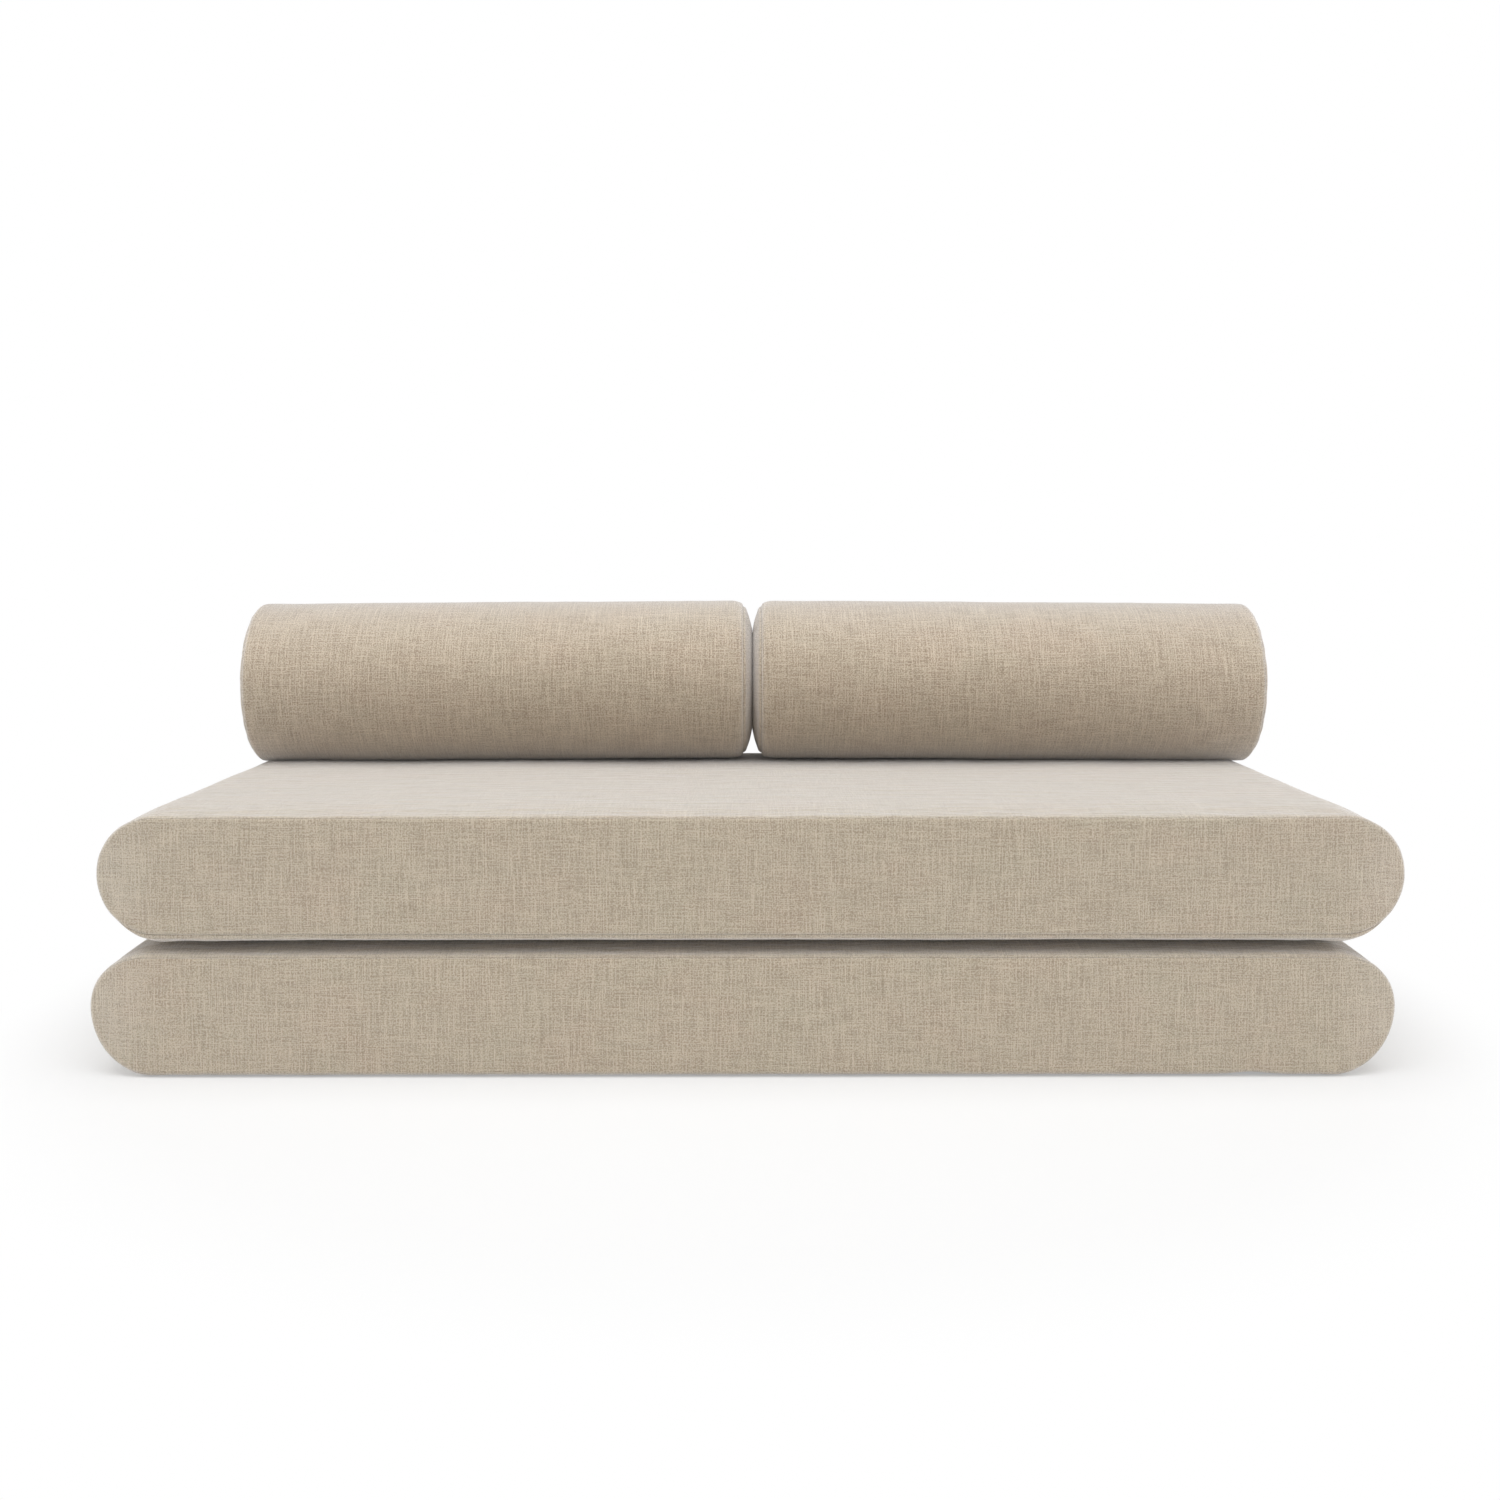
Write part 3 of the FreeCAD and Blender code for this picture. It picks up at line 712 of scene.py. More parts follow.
def fill_cushion(piece, held, limit):
    """Blows the cover up with the filling's pressure while its seams hold. No point goes beyond the limit."""
    look = settings("cushions")
    rest = coordinates(piece.data)
    group = piece.vertex_groups.new(name="sewn")
    group.add([int(i) for i in np.flatnonzero(held)], 1.0, "REPLACE")
    cloth = piece.modifiers.new("filling", "CLOTH")
    cloth.settings.quality = 5
    cloth.settings.use_pressure = True
    cloth.settings.uniform_pressure_force = look.pressure
    cloth.settings.effector_weights.gravity = 0.0
    cloth.settings.vertex_group_mass = group.name
    cloth.collision_settings.use_collision = False
    cloth.point_cache.frame_start = 1
    cloth.point_cache.frame_end = look.frames
    scene = bpy.context.scene
    for step in range(1, look.frames + 1):
        scene.frame_set(step)
    filled = coordinates(piece.evaluated_get(bpy.context.evaluated_depsgraph_get()).data)
    piece.modifiers.remove(cloth)
    piece.vertex_groups.remove(group)
    scene.frame_set(1)
    moved = filled - rest
    reach = np.linalg.norm(moved, axis=1)
    if not np.isfinite(reach).all() or reach.max() < LEAST_FILL * limit:
        raise RuntimeError(f"{piece.name}: the filling moved its cover by {reach.max()} m")
    kept = limit * np.tanh(reach / limit)
    set_coordinates(piece.data, rest + moved * (kept / np.maximum(reach, 1e-9))[:, None])


def subdivide(piece):
    """One smooth subdivision, made part of the mesh."""
    modifier = piece.modifiers.new("finer", "SUBSURF")
    modifier.levels = 1
    modifier.render_levels = 1
    apply_modifiers(piece)


# Width of the cloth that a seam pulls in
PULL_WIDTH = 3 * MM
# Height of the roll beside a seam, its distance from the seam, and its width
ROLL = (0.7 * MM, 6 * MM, 3.5 * MM)
# Length of the gathers along a seam, their width, and where they start
GATHERS = (21 * MM, 13 * MM, 1.2 * MM)
# Width of the cloth beside a seam in which the foam's waves fade out
FLAT_WIDTH = 20 * MM
# Length and height of the foam's small waves, as shares of the slow ones'
SMALL_LENGTH = 0.31
SMALL_HEIGHT = 0.45


def sew_seams(piece, wave, seed):
    """Pulls the seams in, gathers the cloth beside them, and gives the foam its slow waves."""
    look = settings("cushions")
    mesh = piece.data
    points = coordinates(mesh)
    gap = attribute(mesh, GAP)
    pulled = -look.seam_depth * np.clip(1 - gap / PULL_WIDTH, 0, 1) ** 1.5
    height, away, width = ROLL
    roll = height * np.exp(-(((gap - away) / width) ** 2))
    long, wide, start = GATHERS
    gathers = noise_at((r / long, seed, 0.0) for r in attribute(mesh, RUN))
    gathers = look.pucker * gathers * np.exp(-gap / wide) * (gap > start)
    waves = noise_at(Vector(p) / wave + Vector((seed, 0.0, 0.0)) for p in points)
    small = noise_at(Vector(p) / (SMALL_LENGTH * wave) + Vector((0.0, seed, 0.0)) for p in points)
    slow = look.unevenness * (waves + SMALL_HEIGHT * small) * (1 - np.exp(-gap / FLAT_WIDTH))
    out = pulled + roll + gathers + slow
    set_coordinates(mesh, points + normals(mesh) * out[:, None])


# Width and depth of the cloth's turned edge round a zip, and how far the cover lies below the zip's tapes
TURNED_WIDTH = 1.6 * MM
TURNED_DEPTH = 0.35 * MM
BELOW_TAPES = 0.9 * MM
# Where the cloth starts to drop to the tapes, outside their edge, and over what width it does
DROP_START = 0.1 * MM
DROP_WIDTH = 0.6 * MM
# How far in front of the tapes the cover still counts as its rear side
REAR_DEPTH = 30 * MM


def sink_opening(piece, name):
    """Sinks the place where a zip's tapes lie, and turns the cloth's edge in round it."""
    mesh = piece.data
    low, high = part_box(name + "_zip_tapes")
    points = coordinates(mesh)
    x, y, z = points.T
    inside = np.minimum.reduce([x - low.x, high.x - x, z - low.z, high.z - z])
    behind = y > low.y - REAR_DEPTH
    floor = low.y - BELOW_TAPES
    depth = np.clip((inside + DROP_START) / DROP_WIDTH, 0, 1)
    turned = np.clip(1 + inside / TURNED_WIDTH, 0, 1) * TURNED_DEPTH
    sunk = y * (1 - depth) + floor * depth - turned * (1 - depth)
    points[:, 1] = np.where(behind & (inside > -TURNED_WIDTH), sunk, y)
    set_coordinates(mesh, points)


def by_facing(up, top, under, end):
    """A value for the top, one for the underside and one for the ends, mixed by how far up a point faces."""
    rise = np.clip(up, 0, 1) ** 2
    fall = np.clip(-up, 0, 1) ** 2
    return top * rise + under * fall + end * np.clip(1 - rise - fall, 0, 1)


# Drop and reach of the cover's turn towards each flat panel, how far that panel's edge stands back, and over
# what width, all in millimetres, on the top, the underside and the round ends
EDGES = {
    ("lower", "front"): ((20, 3, 0), (105, 14, 90), (3, 1.5, 23), (50, 40, 92)),
    ("lower", "rear"): ((13, 6, 10), (105, 24, 100), (1.5, 1.5, 8), (50, 40, 60)),
    ("upper", "front"): ((10, 14, 2), (105, 18, 90), (3, 2, 23), (50, 40, 92)),
    ("upper", "rear"): ((12, 13, 10), (105, 100, 100), (1.5, 1.5, 8), (50, 50, 60)),
}
# How far the cover swells out beside a seam on the top, the underside and the round ends, in millimetres
HEMS = {("upper", "front"): (0, 4.5, 0)}
NO_HEM = (0, 0, 0)
# How far an underside starts from its full size
REST_SWELL = 0.5 * MM
# Angles of the rings round the cover's turn
TURN = (0.0, 0.12, 0.30, 0.55, 0.85, 1.12, 1.36, math.pi / 2)
# Distances of a panel's first rings from its seam
INSETS = (1.8 * MM, 6 * MM, 14 * MM)
# How many faces lie round an end, down the front panel and across the band
ROUND_STEPS = 24
FRONT_ROWS = 12
BAND_ROWS = 42
# Place, width, depth and height of the raised place in the lower mattress's front edge
RAISED_AT = 0.768
RAISED_WIDTH = 30 * MM
RAISED_DEPTH = (50 * MM, 30 * MM)
RAISED_HEIGHT = 16 * MM


class Mattress:
    """One mattress's shape: a slab with full-round ends, crowned towards its flat front and rear panels."""

    # Length of the foam's slow waves, where their noise starts, and how much of the volume is filling
    WAVE = 0.17
    SEED = 3.7
    FILL = 0.85
    # Steps before, in and after the zip's opening, along the mattress and up its rear panel
    LONG_STEPS = (9, 100, 9)
    REAR_STEPS = (2, 2, 8)

    def __init__(self, name):
        self.name = name
        low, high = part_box(name + "_cover_wrap")
        self.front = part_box(name + "_cover_front")[0].y
        self.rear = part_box(name + "_cover_rear")[1].y
        self.radius = (high.z - low.z) / 2
        self.middle = np.array(((low.x + high.x) / 2, 0.0, (low.z + high.z) / 2))
        self.half = (high.x - low.x) / 2 - self.radius
        self.swell = settings("cushions").swell
        zip_low, zip_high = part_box(name + "_zip_tapes")
        opening = (zip_low.x - self.middle[0], zip_high.x - self.middle[0])
        self.opening = (zip_low.z - self.middle[2], zip_high.z - self.middle[2])
        line = opening_line(-self.half, self.half, *opening, self.LONG_STEPS)
        angles = np.linspace(math.pi / 2, -math.pi / 2, ROUND_STEPS + 1)[1:-1]
        self.columns = len(line)
        still = np.zeros(self.columns)
        end = np.full(len(angles), self.half)
        self.spine = np.concatenate([line, end, line[::-1], -end])
        self.across = np.concatenate([still, np.cos(angles), still, -np.cos(angles)])
        self.up = np.concatenate([still + 1, np.sin(angles), still - 1, -np.sin(angles)])
        outline = self.outline(self.radius)
        steps = np.linalg.norm(np.roll(outline, -1, 0) - outline, axis=1)
        self.along = np.concatenate([[0], np.cumsum(steps)])

    def outline(self, radius):
        """The section's outline at a distance from the spine between its round ends."""
        return np.stack([self.spine + radius * self.across, radius * self.up], 1)

    def edge(self, side, up):
        """Drop, reach, set-back and its width along the cover's edge, at points that face so far up."""
        return [by_facing(up, *v) * MM for v in EDGES[self.name, side]]

    def panel_line(self, gap, back, width):
        """How far in from its plane a flat panel lies, at a distance from its seam."""
        near = np.clip(1 - gap / width, 0, 1)
        return back * near**2 + self.swell * (1 - near**3)

    def plane(self, side):
        """The panel's plane, and the way into the cushion."""
        return (self.front, 1.0) if side == "front" else (self.rear, -1.0)

    def turn(self, side):
        """The rings of the cover between a panel's seam and the full section, from the seam."""
        drop, reach, back, _ = self.edge(side, self.up)
        hem = by_facing(self.up, *HEMS.get((self.name, side), NO_HEM)) * MM
        swell = by_facing(self.up, self.swell, REST_SWELL, self.swell)
        plane, inwards = self.plane(side)
        rings = []
        for turned in TURN:
            radius = self.radius - drop * (1 - math.sin(turned)) - swell * math.sin(turned)
            depth = back + reach * (1 - math.cos(turned)) - hem * max(math.sin(3 * turned), 0.0)
            x, z = self.outline(radius).T
            rings.append(np.stack([self.middle[0] + x, plane + inwards * depth, self.middle[2] + z], 1))
        return rings

    def wrap(self, cut):
        """The band over the top, round both ends and underneath. Returns its two seams' point numbers."""
        front = self.turn("front")
        rear = self.turn("rear")[::-1]
        shares_across = np.linspace(0, 1, BAND_ROWS + 1)[1:-1]
        rings = front + [front[-1] * (1 - s) + rear[0] * s for s in shares_across] + rear
        steps = [np.linalg.norm(b - a, axis=1) for a, b in zip(rings[:-1], rings[1:])]
        down = np.cumsum(np.array([np.zeros(len(self.spine)), *steps]), axis=0)
        gaps = np.minimum(down, down[-1] - down)
        seams = (0, len(rings) - 1)
        numbers = []
        for i, (ring, gap) in enumerate(zip(rings, gaps)):
            numbers.append(cut.add(ring, gap, self.along[:-1], i in seams))
        count = len(self.spine)
        u, v = BAND_AT
        for i in range(len(rings) - 1):
            for k in range(count):
                n = (k + 1) % count
                corners = (numbers[i][k], numbers[i][n], numbers[i + 1][n], numbers[i + 1][k])
                left, right = u + self.along[k], u + self.along[k + 1]
                first, last = v + down[i], v + down[i + 1]
                cut.face(corners, ((left, first[k]), (right, first[n]), (right, last[n]), (left, last[k])))
        return numbers[0], numbers[-1]

    def panel(self, cut, side, seam):
        """One flat end panel inside its seam."""
        drop, _, back, width = self.edge(side, self.up)
        plane, inwards = self.plane(side)
        shift = FRONT_AT if side == "front" else REAR_AT

        def spot(number):
            x, _, z = cut.points[number]
            return x + shift, z + shift

        def lay(flat, gap, set_back, over):
            y = plane + inwards * self.panel_line(gap, set_back, over)
            y = np.broadcast_to(y, len(flat))
            return np.stack([flat[:, 0] + self.middle[0], y, flat[:, 1] + self.middle[2]], 1)

        def fill(grid, known):
            """Adds a grid's own points, and keeps the numbers of those that are known."""
            numbers = np.full(grid.shape[:2], -1)
            for (i, j), n in known.items():
                numbers[i, j] = n
            free = np.argwhere(numbers < 0)
            spots = np.array([grid[i, j] for i, j in free])
            spine = np.clip(spots[:, 0], -self.half, self.half)
            away = np.hypot(spots[:, 0] - spine, spots[:, 1])
            drops, _, backs, widths = self.edge(side, spots[:, 1] / np.maximum(away, 1e-6))
            gaps = np.maximum(self.radius - drops - away, INSETS[-1])
            added = cut.add(lay(spots, gaps, backs, widths), gaps)
            for (i, j), n in zip(free, added):
                numbers[i, j] = n
            return numbers

        outer = seam
        for inset in INSETS:
            flat = self.outline(self.radius - drop - inset)
            numbers = cut.add(lay(flat, inset, back, width), inset, self.along[:-1])
            cut.ring(outer, numbers, spot)
            outer = numbers
        columns, turn = self.columns, ROUND_STEPS
        top = np.arange(columns)
        under = np.arange(columns + turn - 1, 2 * columns + turn - 1)[::-1]
        height = flat[0, 1]
        depth = flat[under[0], 1]
        if side == "front":
            rows = np.linspace(height, depth, FRONT_ROWS + 1)
        else:
            rows = opening_line(depth, height, *self.opening, self.REAR_STEPS)[::-1]
        steps = len(rows) - 1
        body = np.stack(np.broadcast_arrays(flat[top, 0][:, None], rows[None, :]), 2)
        known = {(i, 0): outer[top[i]] for i in range(columns)}
        known.update({(i, steps): outer[under[i]] for i in range(columns)})
        main = fill(body, known)
        cut.sheet(main, spot)
        spare = (turn - steps) // 2
        count = len(outer)
        for start, column in ((columns - 1, main[-1]), (2 * columns + turn - 2, main[0][::-1])):
            arc = [(start + k) % count for k in range(turn + 1)]
            first = arc[: spare + 1]
            far = arc[spare : spare + steps + 1]
            last = arc[spare + steps :][::-1]
            near = np.array([cut.points[n] for n in column])[:, [0, 2]] - self.middle[[0, 2]]
            grid = coons(flat[first], flat[last], near, flat[far])
            known = {(i, 0): outer[n] for i, n in enumerate(first)}
            known.update({(i, steps): outer[n] for i, n in enumerate(last)})
            known.update({(spare, j): outer[n] for j, n in enumerate(far)})
            known.update({(0, j): n for j, n in enumerate(column)})
            cut.sheet(fill(grid, known), spot)

    def lay_out(self):
        """All panels, sewn together."""
        cut = Cut()
        front, rear = self.wrap(cut)
        self.panel(cut, "front", front)
        self.panel(cut, "rear", rear)
        return cut

    def rest(self, points):
        """Flattens the mattress where it lies on the floor or on the other mattress."""
        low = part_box(self.name + "_cover_wrap")[0].z
        if self.name == "upper":
            points[:, 2] = np.maximum(points[:, 2], low)
            return
        points[:, 2] = np.clip(points[:, 2], low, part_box("lower_cover_wrap")[1].z)
        depth, fade = RAISED_DEPTH
        edge = np.clip((self.front + depth - points[:, 1]) / fade, 0, 1)
        near_floor = np.clip(1 - (points[:, 2] - low) / RAISED_HEIGHT, 0, 1)
        hump = np.exp(-(((points[:, 0] - RAISED_AT) / RAISED_WIDTH) ** 2))
        points[:, 2] += settings("cushions").lift * edge * near_floor * hump


class Bolster:
    """The shape of one bolster: a tube with soft shoulders and a domed disc sewn into each end."""

    # Length of the foam's slow waves, where their noise starts, and how much of the volume is filling
    WAVE = 0.15
    SEED = 9.1
    FILL = 0.8
    # Steps before, in and after the zip's opening, round the tube and along it
    AROUND_STEPS = (20, 2, 62)
    LONG_STEPS = (2, 64, 2)
    # Length and fall of the round shoulder, and how far back from the very end its seam lies
    SHOULDERS = {"inner": (38 * MM, 70 * MM, 19 * MM), "outer": (26 * MM, 40 * MM, 14 * MM)}
    # How far each end starts beyond its disc in the frame
    OUTER_PROUD = {"bolster_left": 8 * MM, "bolster_right": 14 * MM}
    INNER_PROUD = 6 * MM
    # Distances of the first rings from a seam, on the tube and on a disc
    NEAR_SEAM = (0.0, 1.6 * MM, 5 * MM, 12 * MM, 20 * MM)
    INSETS = (1.8 * MM, 6 * MM, 13 * MM, 24 * MM)
    # How far the tube starts below its full size
    TUBE_SWELL = 0.4 * MM
    # Height above the seat below which the underside flattens
    SOFT = 6 * MM
    # Half the air between the two bolsters' inner ends
    CLEAR = 0.1 * MM
    # Share of the swell that the end discs leave room for
    DISC_SWELL = 0.7
    # Angle from the zip's middle within which the tube stays in place, and over which it then starts to move
    ZIP_ANGLE = 0.2
    ZIP_FADE = 0.7

    def __init__(self, name):
        self.name = name
        self.left = name == "bolster_left"
        self.ends = ("outer", "inner") if self.left else ("inner", "outer")
        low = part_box(f"{name}_cover_{self.ends[0]}_end")[0]
        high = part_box(f"{name}_cover_{self.ends[1]}_end")[1]
        proud = {"outer": self.OUTER_PROUD[name], "inner": self.INNER_PROUD}
        self.low = low.x - proud[self.ends[0]]
        self.high = high.x + proud[self.ends[1]]
        self.radius = (high.z - low.z) / 2
        self.tube = self.radius - self.TUBE_SWELL
        self.axis = np.array(((low.y + high.y) / 2, (low.z + high.z) / 2))
        zip_low, zip_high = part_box(name + "_zip_tapes")
        half = (zip_high.z - zip_low.z) / 2
        whole = 2 * math.pi * self.radius
        self.around = opening_line(-whole / 4, whole * 3 / 4, -half, half, self.AROUND_STEPS)
        self.angles = self.around[:-1] / self.radius
        start = self.low + self.SHOULDERS[self.ends[0]][2]
        stop = self.high - self.SHOULDERS[self.ends[1]][2]
        near = [start + s for s in self.NEAR_SEAM]
        far = [stop - s for s in self.NEAR_SEAM[::-1]]
        between = opening_line(near[-1], far[0], zip_low.x, zip_high.x, self.LONG_STEPS)
        self.stations = np.concatenate([near[:-1], between, far[1:]])

    def rounding(self, end, back):
        """How far the section is drawn in, at a distance back from an end's seam."""
        run, fall, seam = self.SHOULDERS[end]
        turn = np.clip((run - seam - back) / run, 0, 1)
        return fall * (1 - np.sqrt(1 - turn**2))

    def bulge(self, end, radius):
        """How far an end's disc stands out from its seam, at a distance from the axis."""
        run, fall, seam = self.SHOULDERS[end]
        drop = np.clip((self.tube - radius) / fall, 0, 1)
        out = run * np.sqrt(1 - (1 - drop) ** 2) - (run - seam)
        return np.maximum(out, 0.0) * (1 - self.DISC_SWELL * settings("cushions").swell / seam)

    def sheath(self, cut):
        """The tube. Returns the point numbers of its two seams."""
        stations = self.stations
        ends = np.minimum(stations - stations[0], stations[-1] - stations)
        seams = (0, len(stations) - 1)
        rings = []
        for i, (x, gap) in enumerate(zip(stations, ends)):
            end = self.ends[0 if i < len(stations) / 2 else 1]
            radius = self.tube - self.rounding(end, gap)
            y = self.axis[0] + radius * np.cos(self.angles)
            z = self.axis[1] + radius * np.sin(self.angles)
            points = np.stack([np.full(len(self.angles), x), y, z], 1)
            rings.append(cut.add(points, gap, self.around[:-1], i in seams))
        count = len(self.angles)
        across, up = stations + SHEATH_AT[0], self.around + SHEATH_AT[1]
        for i in range(len(rings) - 1):
            for k in range(count):
                n = (k + 1) % count
                corners = (rings[i][k], rings[i + 1][k], rings[i + 1][n], rings[i][n])
                left, right = across[i], across[i + 1]
                low, high = up[k], up[k + 1]
                cut.face(corners, ((left, low), (right, low), (right, high), (left, high)))
        return rings[0], rings[-1]

    def disc(self, cut, seam, outwards):
        """One end disc inside its seam."""
        end = self.ends[0 if outwards < 0 else 1]
        edge = self.tube - self.rounding(end, 0.0)
        plane = self.stations[0 if outwards < 0 else -1]
        ring = np.stack([np.cos(self.angles), np.sin(self.angles)], 1)

        def lay(flat):
            away = np.hypot(flat[:, 0], flat[:, 1])
            x = plane + outwards * self.bulge(end, away)
            return np.stack([x, self.axis[0] + flat[:, 0], self.axis[1] + flat[:, 1]], 1)

        def spot(number):
            _, y, z = cut.points[number]
            return y + DISC_AT[0] + outwards, z + DISC_AT[1]

        outer = seam
        for inset in self.INSETS:
            flat = ring * (edge - inset)
            numbers = cut.add(lay(flat), inset, self.around[:-1])
            cut.ring(outer, numbers, spot)
            outer = numbers
        steps = len(ring) // 4
        side = [[(s * steps + k) % len(ring) for k in range(steps + 1)] for s in range(4)]
        order = (side[0], side[2][::-1], side[3][::-1], side[1])
        grid = coons(*(flat[i] for i in order))
        numbers = np.full(grid.shape[:2], -1)
        numbers[:, 0] = outer[order[0]]
        numbers[:, steps] = outer[order[1]]
        numbers[0, :] = outer[order[2]]
        numbers[steps, :] = outer[order[3]]
        inner = grid[1:-1, 1:-1].reshape(-1, 2)
        gaps = edge - np.hypot(inner[:, 0], inner[:, 1])
        numbers[1:-1, 1:-1] = cut.add(lay(inner), gaps).reshape(steps - 1, steps - 1)
        cut.sheet(numbers, spot)

    def lay_out(self):
        """All panels, sewn together."""
        cut = Cut()
        low, high = self.sheath(cut)
        self.disc(cut, low, -1.0)
        self.disc(cut, high, 1.0)
        return cut

    def rest(self, points):
        """Lets the outer end hang a little and flattens the bolster where it lies on the seat."""
        look = settings("cushions")
        along = (points[:, 0] - self.low) / (self.high - self.low)
        hang = look.droop * (1 - along if self.left else along)
        # The zip's side stays where the frame has it
        away = np.abs(np.arctan2(points[:, 2] - self.axis[1], points[:, 1] - self.axis[0]))
        clear = np.clip((away - self.ZIP_ANGLE) / self.ZIP_FADE, 0, 1)
        clear = clear * clear * (3 - 2 * clear)
        height = (points[:, 2] - self.axis[1]) / (2 * self.radius) + 0.5
        points[:, 2] += (look.plump * height - hang) * clear
        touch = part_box("bolster_left_cover_inner_end")[1].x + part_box("bolster_right_cover_inner_end")[0].x
        if self.left:
            points[:, 0] = np.minimum(points[:, 0], touch / 2 - self.CLEAR)
        else:
            points[:, 0] = np.maximum(points[:, 0], touch / 2 + self.CLEAR)
        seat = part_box("upper_cover_wrap")[1].z - hang
        above = points[:, 2] - seat
        flattened = self.SOFT * np.exp((above - self.SOFT) / self.SOFT)
        points[:, 2] = seat + np.where(above < self.SOFT, flattened, above)


def make_cushion(shape, title, number):
    """Lays out, fills, sews and dresses one cushion."""
    cut = shape.lay_out()
    piece = cut.piece(title)
    fill = fill_cushion
    fill(piece, np.array(cut.held), settings("cushions").swell)
    subdivide(piece)
    sew_seams(piece, shape.WAVE, shape.SEED + number)
    sink_opening(piece, shape.name)
    points = coordinates(piece.data)
    shape.rest(points)
    set_coordinates(piece.data, points)
    activate(piece)
    bpy.ops.object.shade_smooth()
    body = BODIES[shape.name]
    members = frame["record"]["behaviour"]["bodies"][body]
    nodes = [n for n in members if "_cover_" in n or "_foam_" in n]
    cover = shared(bpy.data.materials, "slub_chenille", cover_material)
    finish_piece(piece, cover, body, "cover_fabric", nodes)


class SOFABED_OT_mattresses(bpy.types.Operator):
    """Make the two mattresses in their covers"""

    bl_idname = "sofabed.mattresses"
    bl_label = "Mattresses"

    def execute(self, context):
        for number, name in enumerate(MATTRESSES):
            make_cushion(Mattress(name), name + "_mattress_pad", number)
        return {"FINISHED"}


class SOFABED_OT_bolsters(bpy.types.Operator):
    """Make the two bolsters in their covers"""

    bl_idname = "sofabed.bolsters"
    bl_label = "Bolsters"

    def execute(self, context):
        for number, name in enumerate(BOLSTERS):
            make_cushion(Bolster(name), name + "_pad", number)
        return {"FINISHED"}


# Zips and cloths


def block(name, low, high):
    """A box between two corners, as a start for a piece."""
    low, high = Vector(low), Vector(high)
    deselect()
    bpy.ops.mesh.primitive_cube_add(size=1.0, location=(low + high) / 2)
    piece = bpy.context.active_object
    piece.name = name
    piece.scale = high - low
    apply_place(piece)
    return piece


def rod(name, radius, start, stop, sides=20, ends="NGON"):
    """A round bar along Z between two points, as a start for a piece."""
    start, stop = Vector(start), Vector(stop)
    middle = (start + stop) / 2
    deselect()
    bpy.ops.mesh.primitive_cylinder_add(
        vertices=sides, radius=radius, depth=stop.z - start.z, end_fill_type=ends, location=middle
    )
    piece = bpy.context.active_object
    piece.name = name
    apply_place(piece)
    return piece


def enter(piece, kind="FACE"):
    """Opens a piece for editing with nothing selected, and returns its edit mesh."""
    activate(piece)
    bpy.ops.object.mode_set(mode="EDIT")
    bpy.ops.mesh.select_mode(type=kind)
    bpy.ops.mesh.select_all(action="DESELECT")
    return bmesh.from_edit_mesh(piece.data)


def pick(piece, test, kind="FACE"):
    """Opens a piece for editing with the faces or edges selected that pass a test."""
    shell = enter(piece, kind)
    for part in shell.faces if kind == "FACE" else shell.edges:
        part.select_set(bool(test(part)))
    shell.select_flush_mode()
    bmesh.update_edit_mesh(piece.data)


def leave():
    """Closes the piece that is open for editing."""
    bpy.ops.object.mode_set(mode="OBJECT")


def ease_edges(piece, width, segments=2):
    """Rounds a piece's sharp edges."""
    modifier = piece.modifiers.new("eased", "BEVEL")
    modifier.width = width
    modifier.segments = segments
    modifier.limit_method = "ANGLE"
    modifier.angle_limit = math.radians(40)
    apply_modifiers(piece)


def thicken(piece, wall):
    """Gives an open sheet or tube its wall."""
    modifier = piece.modifiers.new("wall", "SOLIDIFY")
    modifier.thickness = wall
    modifier.offset = 0.0
    apply_modifiers(piece)


def repeat(piece, pitch, count):
    """Repeats a piece along X."""
    modifier = piece.modifiers.new("row", "ARRAY")
    modifier.count = count
    modifier.use_relative_offset = False
    modifier.use_constant_offset = True
    modifier.constant_offset_displace = (pitch, 0.0, 0.0)
    apply_modifiers(piece)


def recess(piece, test, width, depth):
    """Sinks the middle of the faces that pass a test and leaves a rim."""
    pick(piece, test)
    bpy.ops.mesh.inset(thickness=width, depth=-depth)
    leave()


def faces_back(face):
    """Whether a face looks to the rear, where the zips are seen from."""
    return face.normal.y > 0.9


def stitches(name, start, stop, depth, across, pitch):
    """A row of thread stitches along X, each a rounded bar half sunk in the cloth."""
    low = (start, depth - 0.35 * MM, across - 0.4 * MM)
    high = (start + 0.7 * pitch, depth + 0.45 * MM, across + 0.4 * MM)
    piece = block(name, low, high)
    pick(piece, lambda f: abs(f.normal.x) > 0.9)
    bpy.ops.transform.resize(value=(1.0, 0.35, 0.5))
    leave()
    ease_edges(piece, 0.25 * MM, 1)
    repeat(piece, pitch, int((stop - start) / pitch))
    return piece


# How far the tapes lie below their selvedges
TAPE_RECESS = 0.18 * MM


def tape_pair(name):
    """A zip's two tapes, each with a thicker selvedge."""
    low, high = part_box(name + "_zip_tapes")
    chain_low, chain_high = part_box(name + "_zip_chain")
    strips = []
    for start, stop in ((low.z, chain_low.z), (chain_high.z, high.z)):
        strip = block(name + "_tape", (low.x, low.y, start), (high.x, high.y, stop))
        recess(strip, faces_back, 1.3 * MM, TAPE_RECESS)
        ease_edges(strip, 0.16 * MM)
        strips.append(strip)
    return join(name + "_zip_tape_pair", strips)


